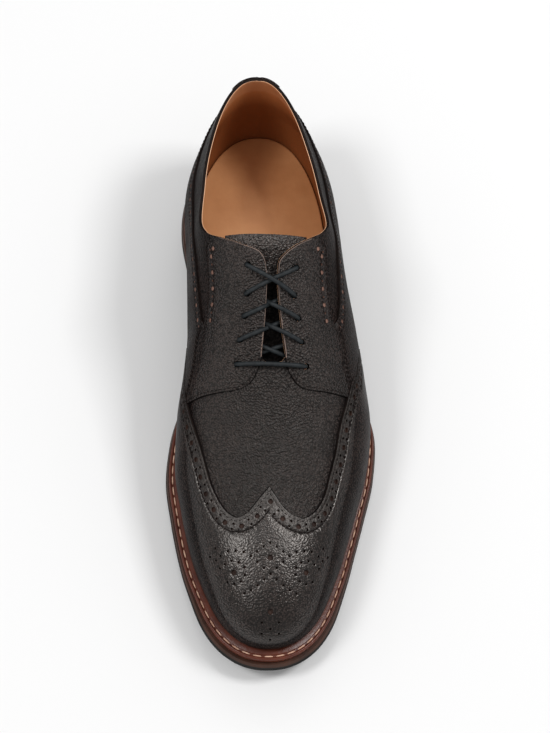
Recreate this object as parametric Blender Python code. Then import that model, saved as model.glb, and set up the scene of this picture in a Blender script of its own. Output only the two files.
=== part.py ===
"""Brogue shoe, left foot: an open-laced wing-tip on a rubber sole, built the way a maker builds it.

The upper is lasted over a shoe last. The last is one closed form, defined by named sizes and a
table of sections, and every leather piece is a layer at a stated depth under its surface.
Frame: toe toward -Y, outer side of the foot toward +X, up is +Z, floor at Z = 0. Metres.
The shoe is worked out on the last's own centre line and moved onto its width's middle at the end.
"""
import math

import bmesh
import bpy
import numpy as np
from mathutils import Matrix

# Overall sizes
LENGTH = 0.302          # outsole, heel to toe
BALL = 0.108            # upper across the ball of the foot
INSTEP = 0.125          # top of the last above the floor
COLLAR = 0.0955         # topline at the heel
SEAT = 0.032            # top of the welt at the heel
TOE_SPRING = 0.009      # underside of the toe above the floor

# Sole
WELT_THICK = 0.0045
SOLE_THICK = 0.0087
WELT_REACH = 0.0062     # welt beyond the foot of the upper
EDGE_BULGE = 0.0016     # rounded sole edge beyond the welt
HEEL_LENGTH = 0.069
HEEL_CAP_THICK = 0.006  # rubber under the heel
HEEL_HOLLOW = 0.004     # depth of the curved heel breast
HEEL_TAPER = 0.0012
TREAD_BACK = 0.61       # flat part of the forefoot, shares of the length
TREAD_FRONT = 0.70
INSOLE_THICK = 0.0032
INSOLE_GAP = 0.0004

# Leather
WALL = 0.0020           # upper leather with its lining
OVERLAY = 0.0013        # wing cap, facings and counters
STRAP_WIDTH = 0.026
STRAP_DROP = 0.024
TONGUE_THICK = 0.0024
TONGUE_DEPTH = 0.0044   # top of the tongue under the outer face of the facings
LACE = 0.0023           # lace diameter
GAP = 0.0003            # space left between neighbours

# Last: lengths at its two ends
HEEL_TIP = 0.0015       # back of the last from the back of the sole
TOE_TIP = 0.0058        # front of the last from the front of the sole
HEEL_ROUND = 0.058      # length over which the heel closes
TOE_ROUND = 0.060       # length over which the toe closes
HEEL_LEAN = 0.006       # the heel leans in toward the topline
HEEL_UNDERCUT = 0.003
TOE_UNDERCUT = 0.002
SIDE_POWER = 2.2        # roundness of a section across
END_POWER = 2.1         # roundness of the heel and toe seen from above

# Sections of the last. Station is the share of the length from the heel. Medial and lateral
# are half widths and offset the ridge's shift, as shares of BALL. Ridge is its height, as a
# share of INSTEP, and wide the level of the widest point between feather and ridge. Cone is how
# far the sides close in toward the ridge, and the tucks how far they go in below the widest.
SECTION_NAMES = ("station", "medial", "lateral", "ridge", "wide", "offset", "cone", "power",
                 "tuck_medial", "tuck_lateral")
SECTIONS = (
    (0.00, 0.330, 0.320, 1.000, 0.24, -0.050, 0.62, 6.0, 0.06, 0.06),
    (0.12, 0.358, 0.336, 1.000, 0.24, -0.050, 0.60, 6.0, 0.06, 0.06),
    (0.22, 0.384, 0.370, 0.995, 0.22, -0.040, 0.48, 6.0, 0.07, 0.06),
    (0.32, 0.376, 0.398, 0.950, 0.20, -0.035, 0.20, 4.0, 0.15, 0.08),
    (0.42, 0.374, 0.446, 0.840, 0.17, -0.040, 0.18, 3.0, 0.20, 0.11),
    (0.50, 0.392, 0.484, 0.735, 0.14, -0.045, 0.10, 2.6, 0.16, 0.10),
    (0.58, 0.418, 0.508, 0.625, 0.12, -0.050, 0.00, 2.4, 0.09, 0.07),
    (0.66, 0.438, 0.490, 0.545, 0.12, -0.045, 0.00, 2.3, 0.06, 0.06),
    (0.74, 0.420, 0.436, 0.490, 0.14, -0.035, 0.00, 2.3, 0.06, 0.06),
    (0.82, 0.382, 0.372, 0.460, 0.16, -0.020, 0.00, 2.3, 0.06, 0.06),
    (0.90, 0.356, 0.338, 0.440, 0.18, -0.012, 0.00, 2.3, 0.06, 0.06),
    (1.00, 0.355, 0.332, 0.420, 0.20, -0.010, 0.00, 2.3, 0.06, 0.06),
)
SECTION = dict(zip(SECTION_NAMES, np.array(SECTIONS).T))

# How far the welt stands out along the sole: station, share of WELT_REACH
REACH = np.array(((0.00, 0.47), (0.20, 0.36), (0.28, 0.26), (0.42, 0.32), (0.52, 0.68), (0.60, 0.97), (1.00, 1.00)))

# Edge of the opening on each side, from the throat up the lace edge and round the collar to the
# heel: station, share of BALL from the centre line, share of INSTEP above the floor, and where
# the same line of the leather reaches the sole, as a share of the way from heel to toe round it.
OPENING_MEDIAL = (
    (0.5370, 0.020, 0.672, 1.000), (0.5345, -0.012, 0.683, 0.900), (0.526, -0.037, 0.700, 0.770),
    (0.477, -0.019, 0.766, 0.670), (0.427, -0.012, 0.832, 0.590), (0.401, -0.019, 0.865, 0.535),
    (0.385, -0.044, 0.883, 0.498), (0.371, -0.133, 0.885, 0.453), (0.352, -0.225, 0.835, 0.421),
    (0.326, -0.300, 0.765, 0.380), (0.290, -0.330, 0.718, 0.336), (0.215, -0.306, 0.700, 0.246),
    (0.136, -0.255, 0.722, 0.170), (0.066, -0.180, 0.752, 0.098), (0.024, -0.085, 0.764, 0.036),
    (0.0155, -0.022, 0.765, 0.000))
OPENING_LATERAL = (
    (0.5370, 0.020, 0.672, 1.000), (0.5345, 0.053, 0.674, 0.900), (0.526, 0.080, 0.682, 0.770),
    (0.477, 0.053, 0.760, 0.670), (0.427, 0.040, 0.815, 0.590), (0.401, 0.044, 0.855, 0.535),
    (0.385, 0.076, 0.868, 0.498), (0.371, 0.124, 0.866, 0.453), (0.352, 0.194, 0.828, 0.421),
    (0.326, 0.262, 0.762, 0.380), (0.290, 0.297, 0.705, 0.336), (0.215, 0.265, 0.672, 0.246),
    (0.136, 0.218, 0.700, 0.170), (0.066, 0.145, 0.745, 0.098), (0.024, 0.042, 0.764, 0.036),
    (0.0155, -0.022, 0.765, 0.000))

# Columns of the leather's mesh along each row pair above, and rows from opening to sole
COLUMNS = (5, 6, 3, 3, 2, 2, 2, 2, 2, 2, 3, 3, 3, 2, 2)
ROWS = 10

# Wing cap's edge seen from above, inner side to outer side: station, share of BALL
WING = (
    (0.380, -0.200), (0.536, -0.300), (0.548, -0.390), (0.573, -0.386), (0.600, -0.373), (0.632, -0.347),
    (0.660, -0.323),
    (0.692, -0.299), (0.728, -0.270), (0.764, -0.222), (0.782, -0.175), (0.785, -0.140), (0.776, -0.095),
    (0.758, -0.052), (0.7365, 0.000), (0.748, 0.022), (0.766, 0.056), (0.779, 0.096), (0.785, 0.140),
    (0.784, 0.172), (0.770, 0.221), (0.744, 0.263), (0.706, 0.294), (0.665, 0.325), (0.620, 0.350),
    (0.569, 0.392), (0.538, 0.414), (0.525, 0.330), (0.380, 0.200))
WING_LEVEL = 0.042      # the edge is cut from above only over this height
# Its tail on each side, seen from the side: station, share of INSTEP
TAIL_MEDIAL = ((0.572, 1.20), (0.562, 0.520), (0.550, 0.436), (0.540, 0.424), (0.500, 0.390),
               (0.464, 0.330), (0.445, 0.270), (0.436, 0.200), (0.433, -0.10))
TAIL_LATERAL = ((0.562, 1.20), (0.552, 0.520), (0.541, 0.453), (0.530, 0.442), (0.503, 0.415),
                (0.477, 0.364), (0.457, 0.310), (0.444, 0.256), (0.437, 0.200), (0.434, -0.10))

# Front edge of each facing seen from above, from the lace edge outward: station, share of BALL
FACING_MEDIAL = ((0.470, 0.012), (0.526, -0.030), (0.543, -0.041), (0.556, -0.056), (0.569, -0.076),
                 (0.580, -0.113), (0.584, -0.160), (0.5845, -0.210), (0.583, -0.300), (0.580, -0.60))
FACING_LATERAL = ((0.470, 0.022), (0.526, 0.074), (0.543, 0.083), (0.556, 0.096), (0.568, 0.119),
                  (0.577, 0.150), (0.580, 0.190), (0.5785, 0.270), (0.576, 0.370), (0.575, 0.60))

# Window between facing and counter seen from the side. Each row: station, share of INSTEP.
# The front arm runs from its low tip up to the topline, the rear arm from the tip back to the heel.
ARM_FRONT = ((0.468, 0.625), (0.455, 0.648), (0.431, 0.678), (0.404, 0.711), (0.375, 0.744), (0.349, 0.770),
             (0.340, 1.10))
ARM_REAR = ((0.468, 0.625), (0.452, 0.606), (0.422, 0.606), (0.385, 0.626), (0.352, 0.640), (0.315, 0.630),
            (0.281, 0.600), (0.250, 0.575), (0.215, 0.555), (0.170, 0.552), (0.120, 0.566), (0.070, 0.592),
            (-0.03, 0.630))
SEAM = ((0.468, 0.625), (0.487, 0.570), (0.530, 0.530), (0.566, 0.472), (0.600, 0.380), (0.660, 0.20))

# Lace eyelets from the top down: station, share of BALL on the inner and the outer side
EYELETS = ((0.4030, -0.101, 0.128), (0.4450, -0.106, 0.118), (0.4775, -0.116, 0.137),
           (0.5115, -0.137, 0.154), (0.5465, -0.149, 0.177))
HEEL_SEAM = -0.0023      # the counters meet a little to the inner side of the centre line
# Where each crossing starts and ends, as shares of the way between its eyelets, top one first
CROSSINGS = ((0.0, 1.0), (0.0, 0.62), (0.0, 0.62), (0.46, 0.64))
CROSS_DEPTH = 0.0029    # the lowest crossing lies between the facings, over the tongue
TONGUE_TOP = 0.352      # station of the tongue's top edge
TONGUE_ROOT = 0.580
TONGUE_HALF = 0.185     # half width, share of BALL
TONGUE_SHIFT = 0.012    # the tongue lies a little to the outer side, share of BALL

BLACK_BROWN = (0.030, 0.024, 0.022)


def hermite(x, xs, ys):
    """Smooth monotone curve through (xs, ys), read at x."""
    x = np.clip(np.asarray(x, float), xs[0], xs[-1])
    step = np.diff(xs)
    rise = np.diff(ys) / step
    slope = np.zeros(len(ys))
    slope[0], slope[-1] = rise[0], rise[-1]
    for k in range(1, len(ys) - 1):
        if rise[k - 1] * rise[k] > 0:
            a, b = 2 * step[k] + step[k - 1], step[k] + 2 * step[k - 1]
            slope[k] = (a + b) / (a / rise[k - 1] + b / rise[k])
    i = np.clip(np.searchsorted(xs, x, side="right") - 1, 0, len(xs) - 2)
    u = (x - xs[i]) / step[i]
    return ((1 + 2 * u) * (1 - u) ** 2 * ys[i] + u * (1 - u) ** 2 * step[i] * slope[i]
            + u * u * (3 - 2 * u) * ys[i + 1] + u * u * (u - 1) * step[i] * slope[i + 1])


def section(name, share):
    """One column of the last's table at stations given as shares of the length."""
    return hermite(share, SECTION["station"], SECTION[name])


def smooth(u):
    """Cubic step from 0 to 1."""
    u = np.clip(u, 0, 1)
    return u * u * (3 - 2 * u)


def underside(back):
    """Height of the outsole's underside at a distance from the back of the heel."""
    share = np.asarray(back) / LENGTH
    breast = HEEL_LENGTH / LENGTH
    arch = (SEAT - WELT_THICK - SOLE_THICK - GAP) * (1 - smooth((share - breast) / (TREAD_BACK - breast)))
    return arch + TOE_SPRING * np.clip((share - TREAD_FRONT) / (1 - TREAD_FRONT), 0, 1) ** 1.8


def feather(back):
    """Height of the welt's top, on which the upper stands."""
    return underside(np.clip(back, 0, LENGTH)) + SOLE_THICK + GAP + WELT_THICK


def last_value(points):
    """Below 1 inside the last, above 1 outside it."""
    x, back, z = points[..., 0], LENGTH / 2 - points[..., 1], points[..., 2]
    share = back / LENGTH
    foot = feather(back)
    ridge = section("ridge", share) * INSTEP
    wide = foot + (ridge - foot) * section("wide", share)
    up = np.clip((z - wide) / (ridge - wide), 0, 3)
    down = np.clip((wide - z) / (wide - foot), 0, 3)
    x = x - section("offset", share) * BALL * up
    half = np.where(x < 0, section("medial", share), section("lateral", share)) * BALL
    tuck = np.where(x < 0, section("tuck_medial", share), section("tuck_lateral", share))
    half = half * (1 - tuck * down ** 2) * (1 - section("cone", share) * np.minimum(up, 1.2))
    heel = (HEEL_ROUND - back) / (HEEL_ROUND - HEEL_TIP - HEEL_UNDERCUT * down ** 2 - HEEL_LEAN * up ** 1.5)
    start = LENGTH - TOE_TIP - TOE_ROUND
    toe = (back - start) / (TOE_ROUND - TOE_UNDERCUT * down ** 2)
    return ((np.abs(x) / half) ** SIDE_POWER + up ** section("power", share)
            + np.clip(heel, 0, None) ** END_POWER + np.clip(toe, 0, None) ** END_POWER)


def spine(points):
    """The point inside the last from which each given point is seen."""
    back = np.clip(LENGTH / 2 - points[..., 1], HEEL_ROUND, LENGTH - TOE_TIP - TOE_ROUND)
    foot = feather(back)
    top = section("ridge", back / LENGTH) * INSTEP
    return np.stack([np.zeros_like(back), LENGTH / 2 - back, foot + 0.25 * (top - foot)], -1)


def onto_last(points):
    """Moves points onto the last, straight out from its spine."""
    points = np.asarray(points, float)
    start = spine(points)
    ray = points - start
    ray /= np.linalg.norm(ray, axis=-1, keepdims=True)
    near = np.zeros(points.shape[:-1])
    far = np.full(points.shape[:-1], LENGTH)
    for _ in range(34):
        middle = (near + far) / 2
        inside = last_value(start + ray * middle[..., None]) < 1
        near = np.where(inside, middle, near)
        far = np.where(inside, far, middle)
    return start + ray * near[..., None]


def outward(points):
    """Unit normals of the last."""
    step = 0.01 * WALL
    slopes = [last_value(points + step * axis) - last_value(points - step * axis) for axis in np.eye(3)]
    normal = np.stack(slopes, -1)
    return normal / np.linalg.norm(normal, axis=-1, keepdims=True)


def at(station, across, height):
    """A point from its shares of the length, the ball width and the instep height."""
    return np.array((across * BALL, LENGTH * (0.5 - station), height * INSTEP))


def plan_half(back, side, grow):
    """Half width of the last's foot, grown outward in plan; side is -1 inner or 1 outer."""
    names = ("medial", "tuck_medial") if side < 0 else ("lateral", "tuck_lateral")
    share = back / LENGTH
    half = section(names[0], share) * BALL * (1 - section(names[1], share)) + grow
    heel_end = HEEL_TIP + HEEL_UNDERCUT - grow
    toe_end = LENGTH - TOE_TIP - TOE_UNDERCUT + grow
    start = LENGTH - TOE_TIP - TOE_ROUND
    heel = np.clip((HEEL_ROUND - back) / (HEEL_ROUND - heel_end), 0, 1)
    toe = np.clip((back - start) / (toe_end - start), 0, 1)
    return side * half * np.clip(1 - heel ** END_POWER - toe ** END_POWER, 0, 1) ** (1 / SIDE_POWER)


def plan_ends(grow):
    """Distances from the back of the heel at which a grown plan outline begins and ends."""
    return HEEL_TIP + HEEL_UNDERCUT - grow, LENGTH - TOE_TIP - TOE_UNDERCUT + grow


def reach(back):
    """How far the welt stands out at a distance from the heel."""
    return WELT_REACH * hermite(back / LENGTH, REACH[:, 0], REACH[:, 1])


def stations(first, last, count, round_first=True, round_last=True):
    """Distances that crowd toward the rounded ends of an outline."""
    u = np.linspace(0, 1, count)
    if round_first and round_last:
        u = (1 - np.cos(math.pi * u)) / 2
    elif round_first:
        u = 1 - np.cos(math.pi / 2 * u)
    return first + (last - first) * u


def new_object(name, mesh, parts, colour, roughness):
    """Adds a finished mesh as one named, smooth-shaded part with its own material."""
    material = bpy.data.materials.new(name)
    material.use_nodes = True
    shader = material.node_tree.nodes["Principled BSDF"]
    shader.inputs["Base Color"].default_value = (*colour, 1)
    shader.inputs["Roughness"].default_value = roughness
    shader.inputs["Metallic"].default_value = 0
    material.diffuse_color = (*colour, 1)
    mesh.materials.append(material)
    mesh.shade_smooth()
    mesh.set_sharp_from_angle(angle=math.radians(40))
    piece = bpy.data.objects.new(name, mesh)
    parts.objects.link(piece)
    return piece


def mesh_of(points, faces, name):
    """A mesh with its faces turned outward."""
    build = bmesh.new()
    corners = [build.verts.new(point) for point in points]
    for face in faces:
        build.faces.new([corners[i] for i in face])
    bmesh.ops.remove_doubles(build, verts=build.verts, dist=1e-6)
    bmesh.ops.dissolve_degenerate(build, edges=build.edges, dist=1e-7)
    bmesh.ops.recalc_face_normals(build, faces=build.faces)
    if build.calc_volume(signed=True) < 0:
        bmesh.ops.reverse_faces(build, faces=build.faces)
    mesh = bpy.data.meshes.new(name)
    build.to_mesh(mesh)
    build.free()
    return mesh


def slab(name, spans, levels):
    """A lofted plate. spans gives, per level, rows of (inner x, outer x, y); levels their heights."""
    points, faces = [], []
    count = len(spans[0])
    for span, heights in zip(spans, levels):
        points += [(row[0], row[2], h) for row, h in zip(span, heights)]
        points += [(row[1], row[2], h) for row, h in zip(span, heights)]
    ring = [*range(count), *range(2 * count - 2, count, -1)]
    size = 2 * count
    for level in range(len(spans) - 1):
        low, high = level * size, (level + 1) * size
        for i, a in enumerate(ring):
            b = ring[(i + 1) % len(ring)]
            faces.append((low + a, low + b, high + b, high + a))
    for base in (0, (len(spans) - 1) * size):
        for i in range(count - 1):
            quad = [base + i, base + i + 1, base + count + i + 1, base + count + i]
            if i == 0:
                quad.remove(base + count)
            if i == count - 2:
                quad.remove(base + 2 * count - 1)
            faces.append(quad)
    return mesh_of(points, faces, name)


def closed_span(grow, count):
    """Rows of a whole sole outline, pointed onto one corner at each end."""
    reached = WELT_REACH if grow is None else grow
    first, last = plan_ends(reached)
    if grow is None:
        first = plan_ends(reach(0.0))[0]
    back = stations(first, last, count)
    wide = reach(back) if grow is None else grow
    inner, outer = sole_half(back, -1, wide, first, last), sole_half(back, 1, wide, first, last)
    return [(a, b, LENGTH / 2 - c) for a, b, c in zip(inner, outer, back)]


def sole_half(back, side, grow, first, last):
    """Half width of a sole outline that ends exactly at first and last."""
    names = ("medial", "tuck_medial") if side < 0 else ("lateral", "tuck_lateral")
    share = np.clip(back / LENGTH, 0, 1)
    half = section(names[0], share) * BALL * (1 - section(names[1], share)) + grow
    start = LENGTH - TOE_TIP - TOE_ROUND
    heel = np.clip((HEEL_ROUND - back) / (HEEL_ROUND - first), 0, 1)
    toe = np.clip((back - start) / (last - start), 0, 1)
    return side * half * np.clip(1 - heel ** END_POWER - toe ** END_POWER, 0, 1) ** (1 / SIDE_POWER)


def widened(span, extra):
    """The same rows with their sides and ends moved out."""
    back = np.array([LENGTH / 2 - row[2] for row in span])
    share = (back - back[0]) / (back[-1] - back[0])
    moved = back - extra + 2 * extra * share
    return [(row[0] - extra * math.sin(math.pi * u) ** 0.25 if 0 < u < 1 else row[0],
             row[1] + extra * math.sin(math.pi * u) ** 0.25 if 0 < u < 1 else row[1],
             LENGTH / 2 - m) for row, u, m in zip(span, share, moved)]


def heights(span, rule):
    return [rule(LENGTH / 2 - row[2]) for row in span]


def sole_middle():
    """X of the middle of the outsole's width, on which the finished shoe is centred."""
    edge = widened(closed_span(None, 40), EDGE_BULGE)
    return (min(row[0] for row in edge) + max(row[1] for row in edge)) / 2


def build_sole(parts):
    """Welt, outsole, heel block and heel cap, stacked with a small gap between them."""
    welt = closed_span(None, 40)
    top = heights(welt, feather)
    new_object("welt", slab("welt", [welt, welt], [[h - WELT_THICK for h in top], top]), parts,
               (0.10, 0.045, 0.028), 0.55)

    under = heights(welt, lambda back: underside(np.clip(back, 0, LENGTH)))
    layers = ((-0.3, 0.00), (0.7, 0.22), (1.0, 0.55), (0.45, 1.00))
    spans = [widened(welt, EDGE_BULGE * out) for out, _ in layers]
    levels = [[h + SOLE_THICK * share for h in under] for _, share in layers]
    new_object("outsole", slab("outsole", spans, levels), parts, (0.028, 0.026, 0.024), 0.7)

    heel_top = SEAT - WELT_THICK - SOLE_THICK - 2 * GAP
    spans = [heel_span(0.0), heel_span(HEEL_TAPER * 0.7)]
    blocks = (("heel_block", HEEL_CAP_THICK + GAP, heel_top, spans[::-1], (0.045, 0.026, 0.020), 0.5),
              ("heel_cap", 0.0, HEEL_CAP_THICK, [heel_span(HEEL_TAPER), spans[1]], (0.022, 0.021, 0.020), 0.75))
    for name, low, high, pair, colour, rough in blocks:
        flat = [[level] * len(pair[0]) for level in (low, high)]
        new_object(name, slab_open(name, pair, flat), parts, colour, rough)


def heel_span(inset):
    """Rows of the heel's plan, from its round back to its hollow breast."""
    first = plan_ends(reach(0.0))[0] + inset
    count = 18
    back = stations(first, HEEL_LENGTH, count, round_last=False)
    grow = reach(back) - inset
    last = plan_ends(WELT_REACH)[1]
    inner, outer = sole_half(back, -1, grow, first, last), sole_half(back, 1, grow, first, last)
    return [(a, b, LENGTH / 2 - c) for a, b, c in zip(inner, outer, back)]


def slab_open(name, spans, levels):
    """A plate with one round end and one flat or hollow end, at two levels."""
    points, faces = [], []
    arc = 9
    for span, level in zip(spans, levels):
        left = [(row[0], row[2], level[0]) for row in span]
        right = [(row[1], row[2], level[0]) for row in span[:0:-1]]
        a, b, y = span[-1]
        hollow = []
        for k in range(1, arc):
            u = k / arc
            dip = HEEL_HOLLOW * (1 - (2 * u - 1) ** 2)
            hollow.append((a + (b - a) * u, y + dip, level[0]))
        ring = left + hollow + right
        points += ring
    size = len(points) // 2
    faces.append(list(range(size)))
    faces.append(list(range(2 * size - 1, size - 1, -1)))
    for i in range(size):
        j = (i + 1) % size
        faces.append((i, j, size + j, size + i))
    return mesh_of(points, faces, name)


def build_insole(parts):
    """The insole fills the upper's foot."""
    inset = WALL + OVERLAY + GAP + INSOLE_GAP
    span = closed_span(-inset, 34)
    low = [h + GAP for h in heights(span, feather)]
    high = [h + INSOLE_THICK for h in low]
    new_object("insole", slab("insole", [span, span], [low, high]), parts, (0.42, 0.24, 0.12), 0.6)


def opening_rows():
    """Opening and sole points for every column of the leather, once round the shoe."""
    columns = []
    for side, table in ((-1, OPENING_MEDIAL), (1, OPENING_LATERAL)):
        rows = np.array(table)
        knots = np.concatenate([[0], np.cumsum(COLUMNS)]).astype(float)
        steps = np.arange(knots[-1] + 1)
        read = [hermite(steps, knots, rows[:, k]) for k in range(4)]
        top = np.stack([read[1] * BALL, LENGTH * (0.5 - read[0]), read[2] * INSTEP], -1)
        back = foot_stations(read[3], side)
        half = plan_half(back, side, 0.0)
        foot = np.stack([half, LENGTH / 2 - back, feather(back)], -1)
        columns.append((top, foot))
    (top_a, foot_a), (top_b, foot_b) = columns
    return np.concatenate([top_a, top_b[-2:0:-1]]), np.concatenate([foot_a, foot_b[-2:0:-1]])


def foot_stations(share, side):
    """Distances from the heel for shares of the way round one side of the upper's foot."""
    first, last = plan_ends(0.0)
    back = first + (last - first) * (1 - np.cos(np.linspace(0, math.pi, 2001))) / 2
    half = plan_half(back, side, 0.0)
    way = np.concatenate([[0], np.cumsum(np.hypot(np.diff(half), np.diff(back)))])
    return np.interp(share, way / way[-1], back)


def leather_grid():
    """Points on the last by row and column, and their outward directions."""
    top, foot = opening_rows()
    ridge = section("ridge", (LENGTH / 2 - foot[:, 1]) / LENGTH) * INSTEP
    bend = foot.copy()
    bend[:, 2] = np.minimum(ridge, top[:, 2])
    grid = []
    for j in range(ROWS + 1):
        w = j / ROWS
        grid.append(top * (1 - w) ** 2 + bend * 2 * w * (1 - w) + foot * w * w)
    grid = onto_last(np.array(grid))
    normal = outward(grid)
    grid[-1] = foot
    flat = normal[-1].copy()
    flat[:, 2] = 0
    normal[-1] = flat / np.linalg.norm(flat, axis=-1, keepdims=True)
    return grid, normal


def leather(name, grid, normal, shallow, deep):
    """A closed layer of leather between two depths under the surface of the last."""
    rows, columns = grid.shape[:2]
    outer, inner = grid - normal * shallow, grid - normal * deep
    for layer in (outer, inner):
        layer[-1, :, 2] = grid[-1, :, 2] + GAP
        floor = layer[-1, :, 2] + GAP
        layer[-2, :, 2] = np.maximum(layer[-2, :, 2], floor)
    points = [*outer.reshape(-1, 3), *inner.reshape(-1, 3)]
    size = rows * columns
    faces = []
    for j in range(rows - 1):
        for i in range(columns):
            k = (i + 1) % columns
            a, b = j * columns + i, j * columns + k
            c, d = b + columns, a + columns
            straight = np.linalg.norm(grid[j, i] - grid[j + 1, k]) < np.linalg.norm(grid[j, k] - grid[j + 1, i])
            for one, two, three in ((a, b, c), (a, c, d)) if straight else ((a, b, d), (b, c, d)):
                faces.append((one, two, three))
                faces.append((size + one, size + three, size + two))
    for j in (0, rows - 1):
        for i in range(columns):
            a, b = j * columns + i, j * columns + (i + 1) % columns
            faces.append((a, size + a, size + b, b))
    return mesh_of(points, faces, name)


def prism(name, outline, low, high, along, cutters):
    """A cutter: an outline of (station, share) extruded through the shoe along Z or X."""
    build = bmesh.new()
    corners = []
    for a, b in outline:
        y = LENGTH * (0.5 - a)
        corners.append(build.verts.new((b * BALL, y, low) if along == "Z" else (low, y, b * INSTEP)))
    face = build.faces.new(corners)
    moved = bmesh.ops.extrude_face_region(build, geom=[face])
    shift = (0, 0, high - low) if along == "Z" else (high - low, 0, 0)
    grown = [item for item in moved["geom"] if isinstance(item, bmesh.types.BMVert)]
    bmesh.ops.translate(build, verts=grown, vec=shift)
    bmesh.ops.recalc_face_normals(build, faces=build.faces)
    mesh = bpy.data.meshes.new(name)
    build.to_mesh(mesh)
    build.free()
    cutter = bpy.data.objects.new(name, mesh)
    cutter.hide_render = True
    cutter.display_type = "WIRE"
    cutters.objects.link(cutter)
    return cutter


def cut(piece, cutter, operation):
    step = piece.modifiers.new(cutter.name, "BOOLEAN")
    step.operation = operation
    step.solver = "EXACT"
    step.object = cutter


def rounded(points, count=4):
    """A finer outline through the points of a coarse one."""
    points = np.array(points)
    knots = np.arange(len(points), dtype=float)
    fine = np.linspace(0, len(points) - 1, (len(points) - 1) * count + 1)
    return [tuple(row) for row in np.stack([hermite(fine, knots, points[:, k]) for k in range(2)], -1)]


def moved_aside(points, distance, across):
    """An open outline moved sideways by a real distance; across is the length its shares count in."""
    line = np.array([(a * LENGTH, b * across) for a, b in points])
    run = np.gradient(line, axis=0)
    run /= np.linalg.norm(run, axis=-1, keepdims=True)
    line += np.stack([-run[:, 1], run[:, 0]], -1) * distance
    return [(a / LENGTH, b / across) for a, b in line]


def build_leather(parts, cutters):
    """The lasted upper and the pieces stitched on it."""
    grid, normal = leather_grid()
    base = OVERLAY + GAP
    new_object("upper", leather("upper", grid, normal, base, base + WALL), parts, BLACK_BROWN, 0.45)
    high = INSTEP * 1.5
    wide = BALL
    wing_line = rounded(WING, 2)

    wing = new_object("wing_cap", leather("wing_cap", grid, normal, 0.0, OVERLAY), parts, BLACK_BROWN, 0.4)
    beyond = [(0.38, 0.60), (1.10, 0.60), (1.10, -0.60), (0.38, -0.60)]
    outline = prism("wing_outline", wing_line + beyond, WING_LEVEL, high, "Z", cutters)
    wing_room = prism("wing_room", moved_aside(wing_line, GAP, BALL) + beyond, WING_LEVEL, high, "Z", cutters)
    below = prism("wing_below", beyond, -0.01, WING_LEVEL + WALL, "Z", cutters)
    cut(outline, below, "UNION")
    cut(wing_room, below, "UNION")
    cut(wing, outline, "INTERSECT")
    for word, tail, span in (("medial", TAIL_MEDIAL, (-wide, 0.0)), ("lateral", TAIL_LATERAL, (0.0, wide))):
        line = rounded(tail, 2)
        above = [(0.20, -0.10), (0.20, 1.20)]
        cut(wing, prism("tail_" + word, line + above, *span, "X", cutters), "DIFFERENCE")
        room = moved_aside(line, -GAP, INSTEP) + above
        cut(wing_room, prism("tail_room_" + word, room, *span, "X", cutters), "DIFFERENCE")

    for side, word, edge in ((-1, "medial", FACING_MEDIAL), (1, "lateral", FACING_LATERAL)):
        colour = BLACK_BROWN
        facing = new_object("facing_" + word, leather("facing_" + word, grid, normal, 0.0, OVERLAY), parts,
                            colour, 0.45)
        plan = rounded(edge, 2) + [(0.30, side * 0.60), (0.30, edge[0][1])]
        cut(facing, prism("facing_plan_" + word, plan, -0.01, high, "Z", cutters), "INTERSECT")
        reach_side = (0.0, wide) if side > 0 else (-wide, 0.0)
        outline = (rounded(ARM_FRONT[::-1], 2) + list(SEAM[1:])
                   + [(0.70, 0.20), (0.70, 1.20), (ARM_FRONT[-1][0], 1.20)])
        cut(facing, prism("facing_side_" + word, outline, -wide, wide, "X", cutters), "INTERSECT")
        cut(facing, wing_room, "DIFFERENCE")

        counter = new_object("counter_" + word, leather("counter_" + word, grid, normal, 0.0, OVERLAY), parts,
                             colour, 0.42)
        rear = rounded(ARM_REAR[::-1], 2) + list(SEAM[1:])
        outline = moved_aside(rear, -GAP, INSTEP) + [(0.66, -0.1), (-0.03, -0.1)]
        span = (HEEL_SEAM + GAP / 2, wide) if side > 0 else (-wide, HEEL_SEAM - GAP / 2)
        cut(counter, prism("counter_side_" + word, outline, *span, "X", cutters), "INTERSECT")
        cut(counter, wing_room, "DIFFERENCE")

    strap = new_object("back_strap", leather("back_strap", grid, normal, 0.0, OVERLAY), parts,
                       BLACK_BROWN, 0.4)
    cut(strap, strap_box("strap_outline", 0.0, high, cutters), "INTERSECT")
    room = strap_box("strap_room", GAP, high, cutters)
    for word in ("medial", "lateral"):
        cut(parts.objects["counter_" + word], room, "DIFFERENCE")


def strap_box(name, grow, high, cutters):
    """The outline of the strap at the back of the heel."""
    half = (STRAP_WIDTH / 2 + grow) / BALL
    middle = HEEL_SEAM / BALL
    plan = [(-0.1, middle - half), (0.10, middle - half), (0.10, middle + half), (-0.1, middle + half)]
    return prism(name, plan, COLLAR - STRAP_DROP - grow, high, "Z", cutters)


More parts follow.
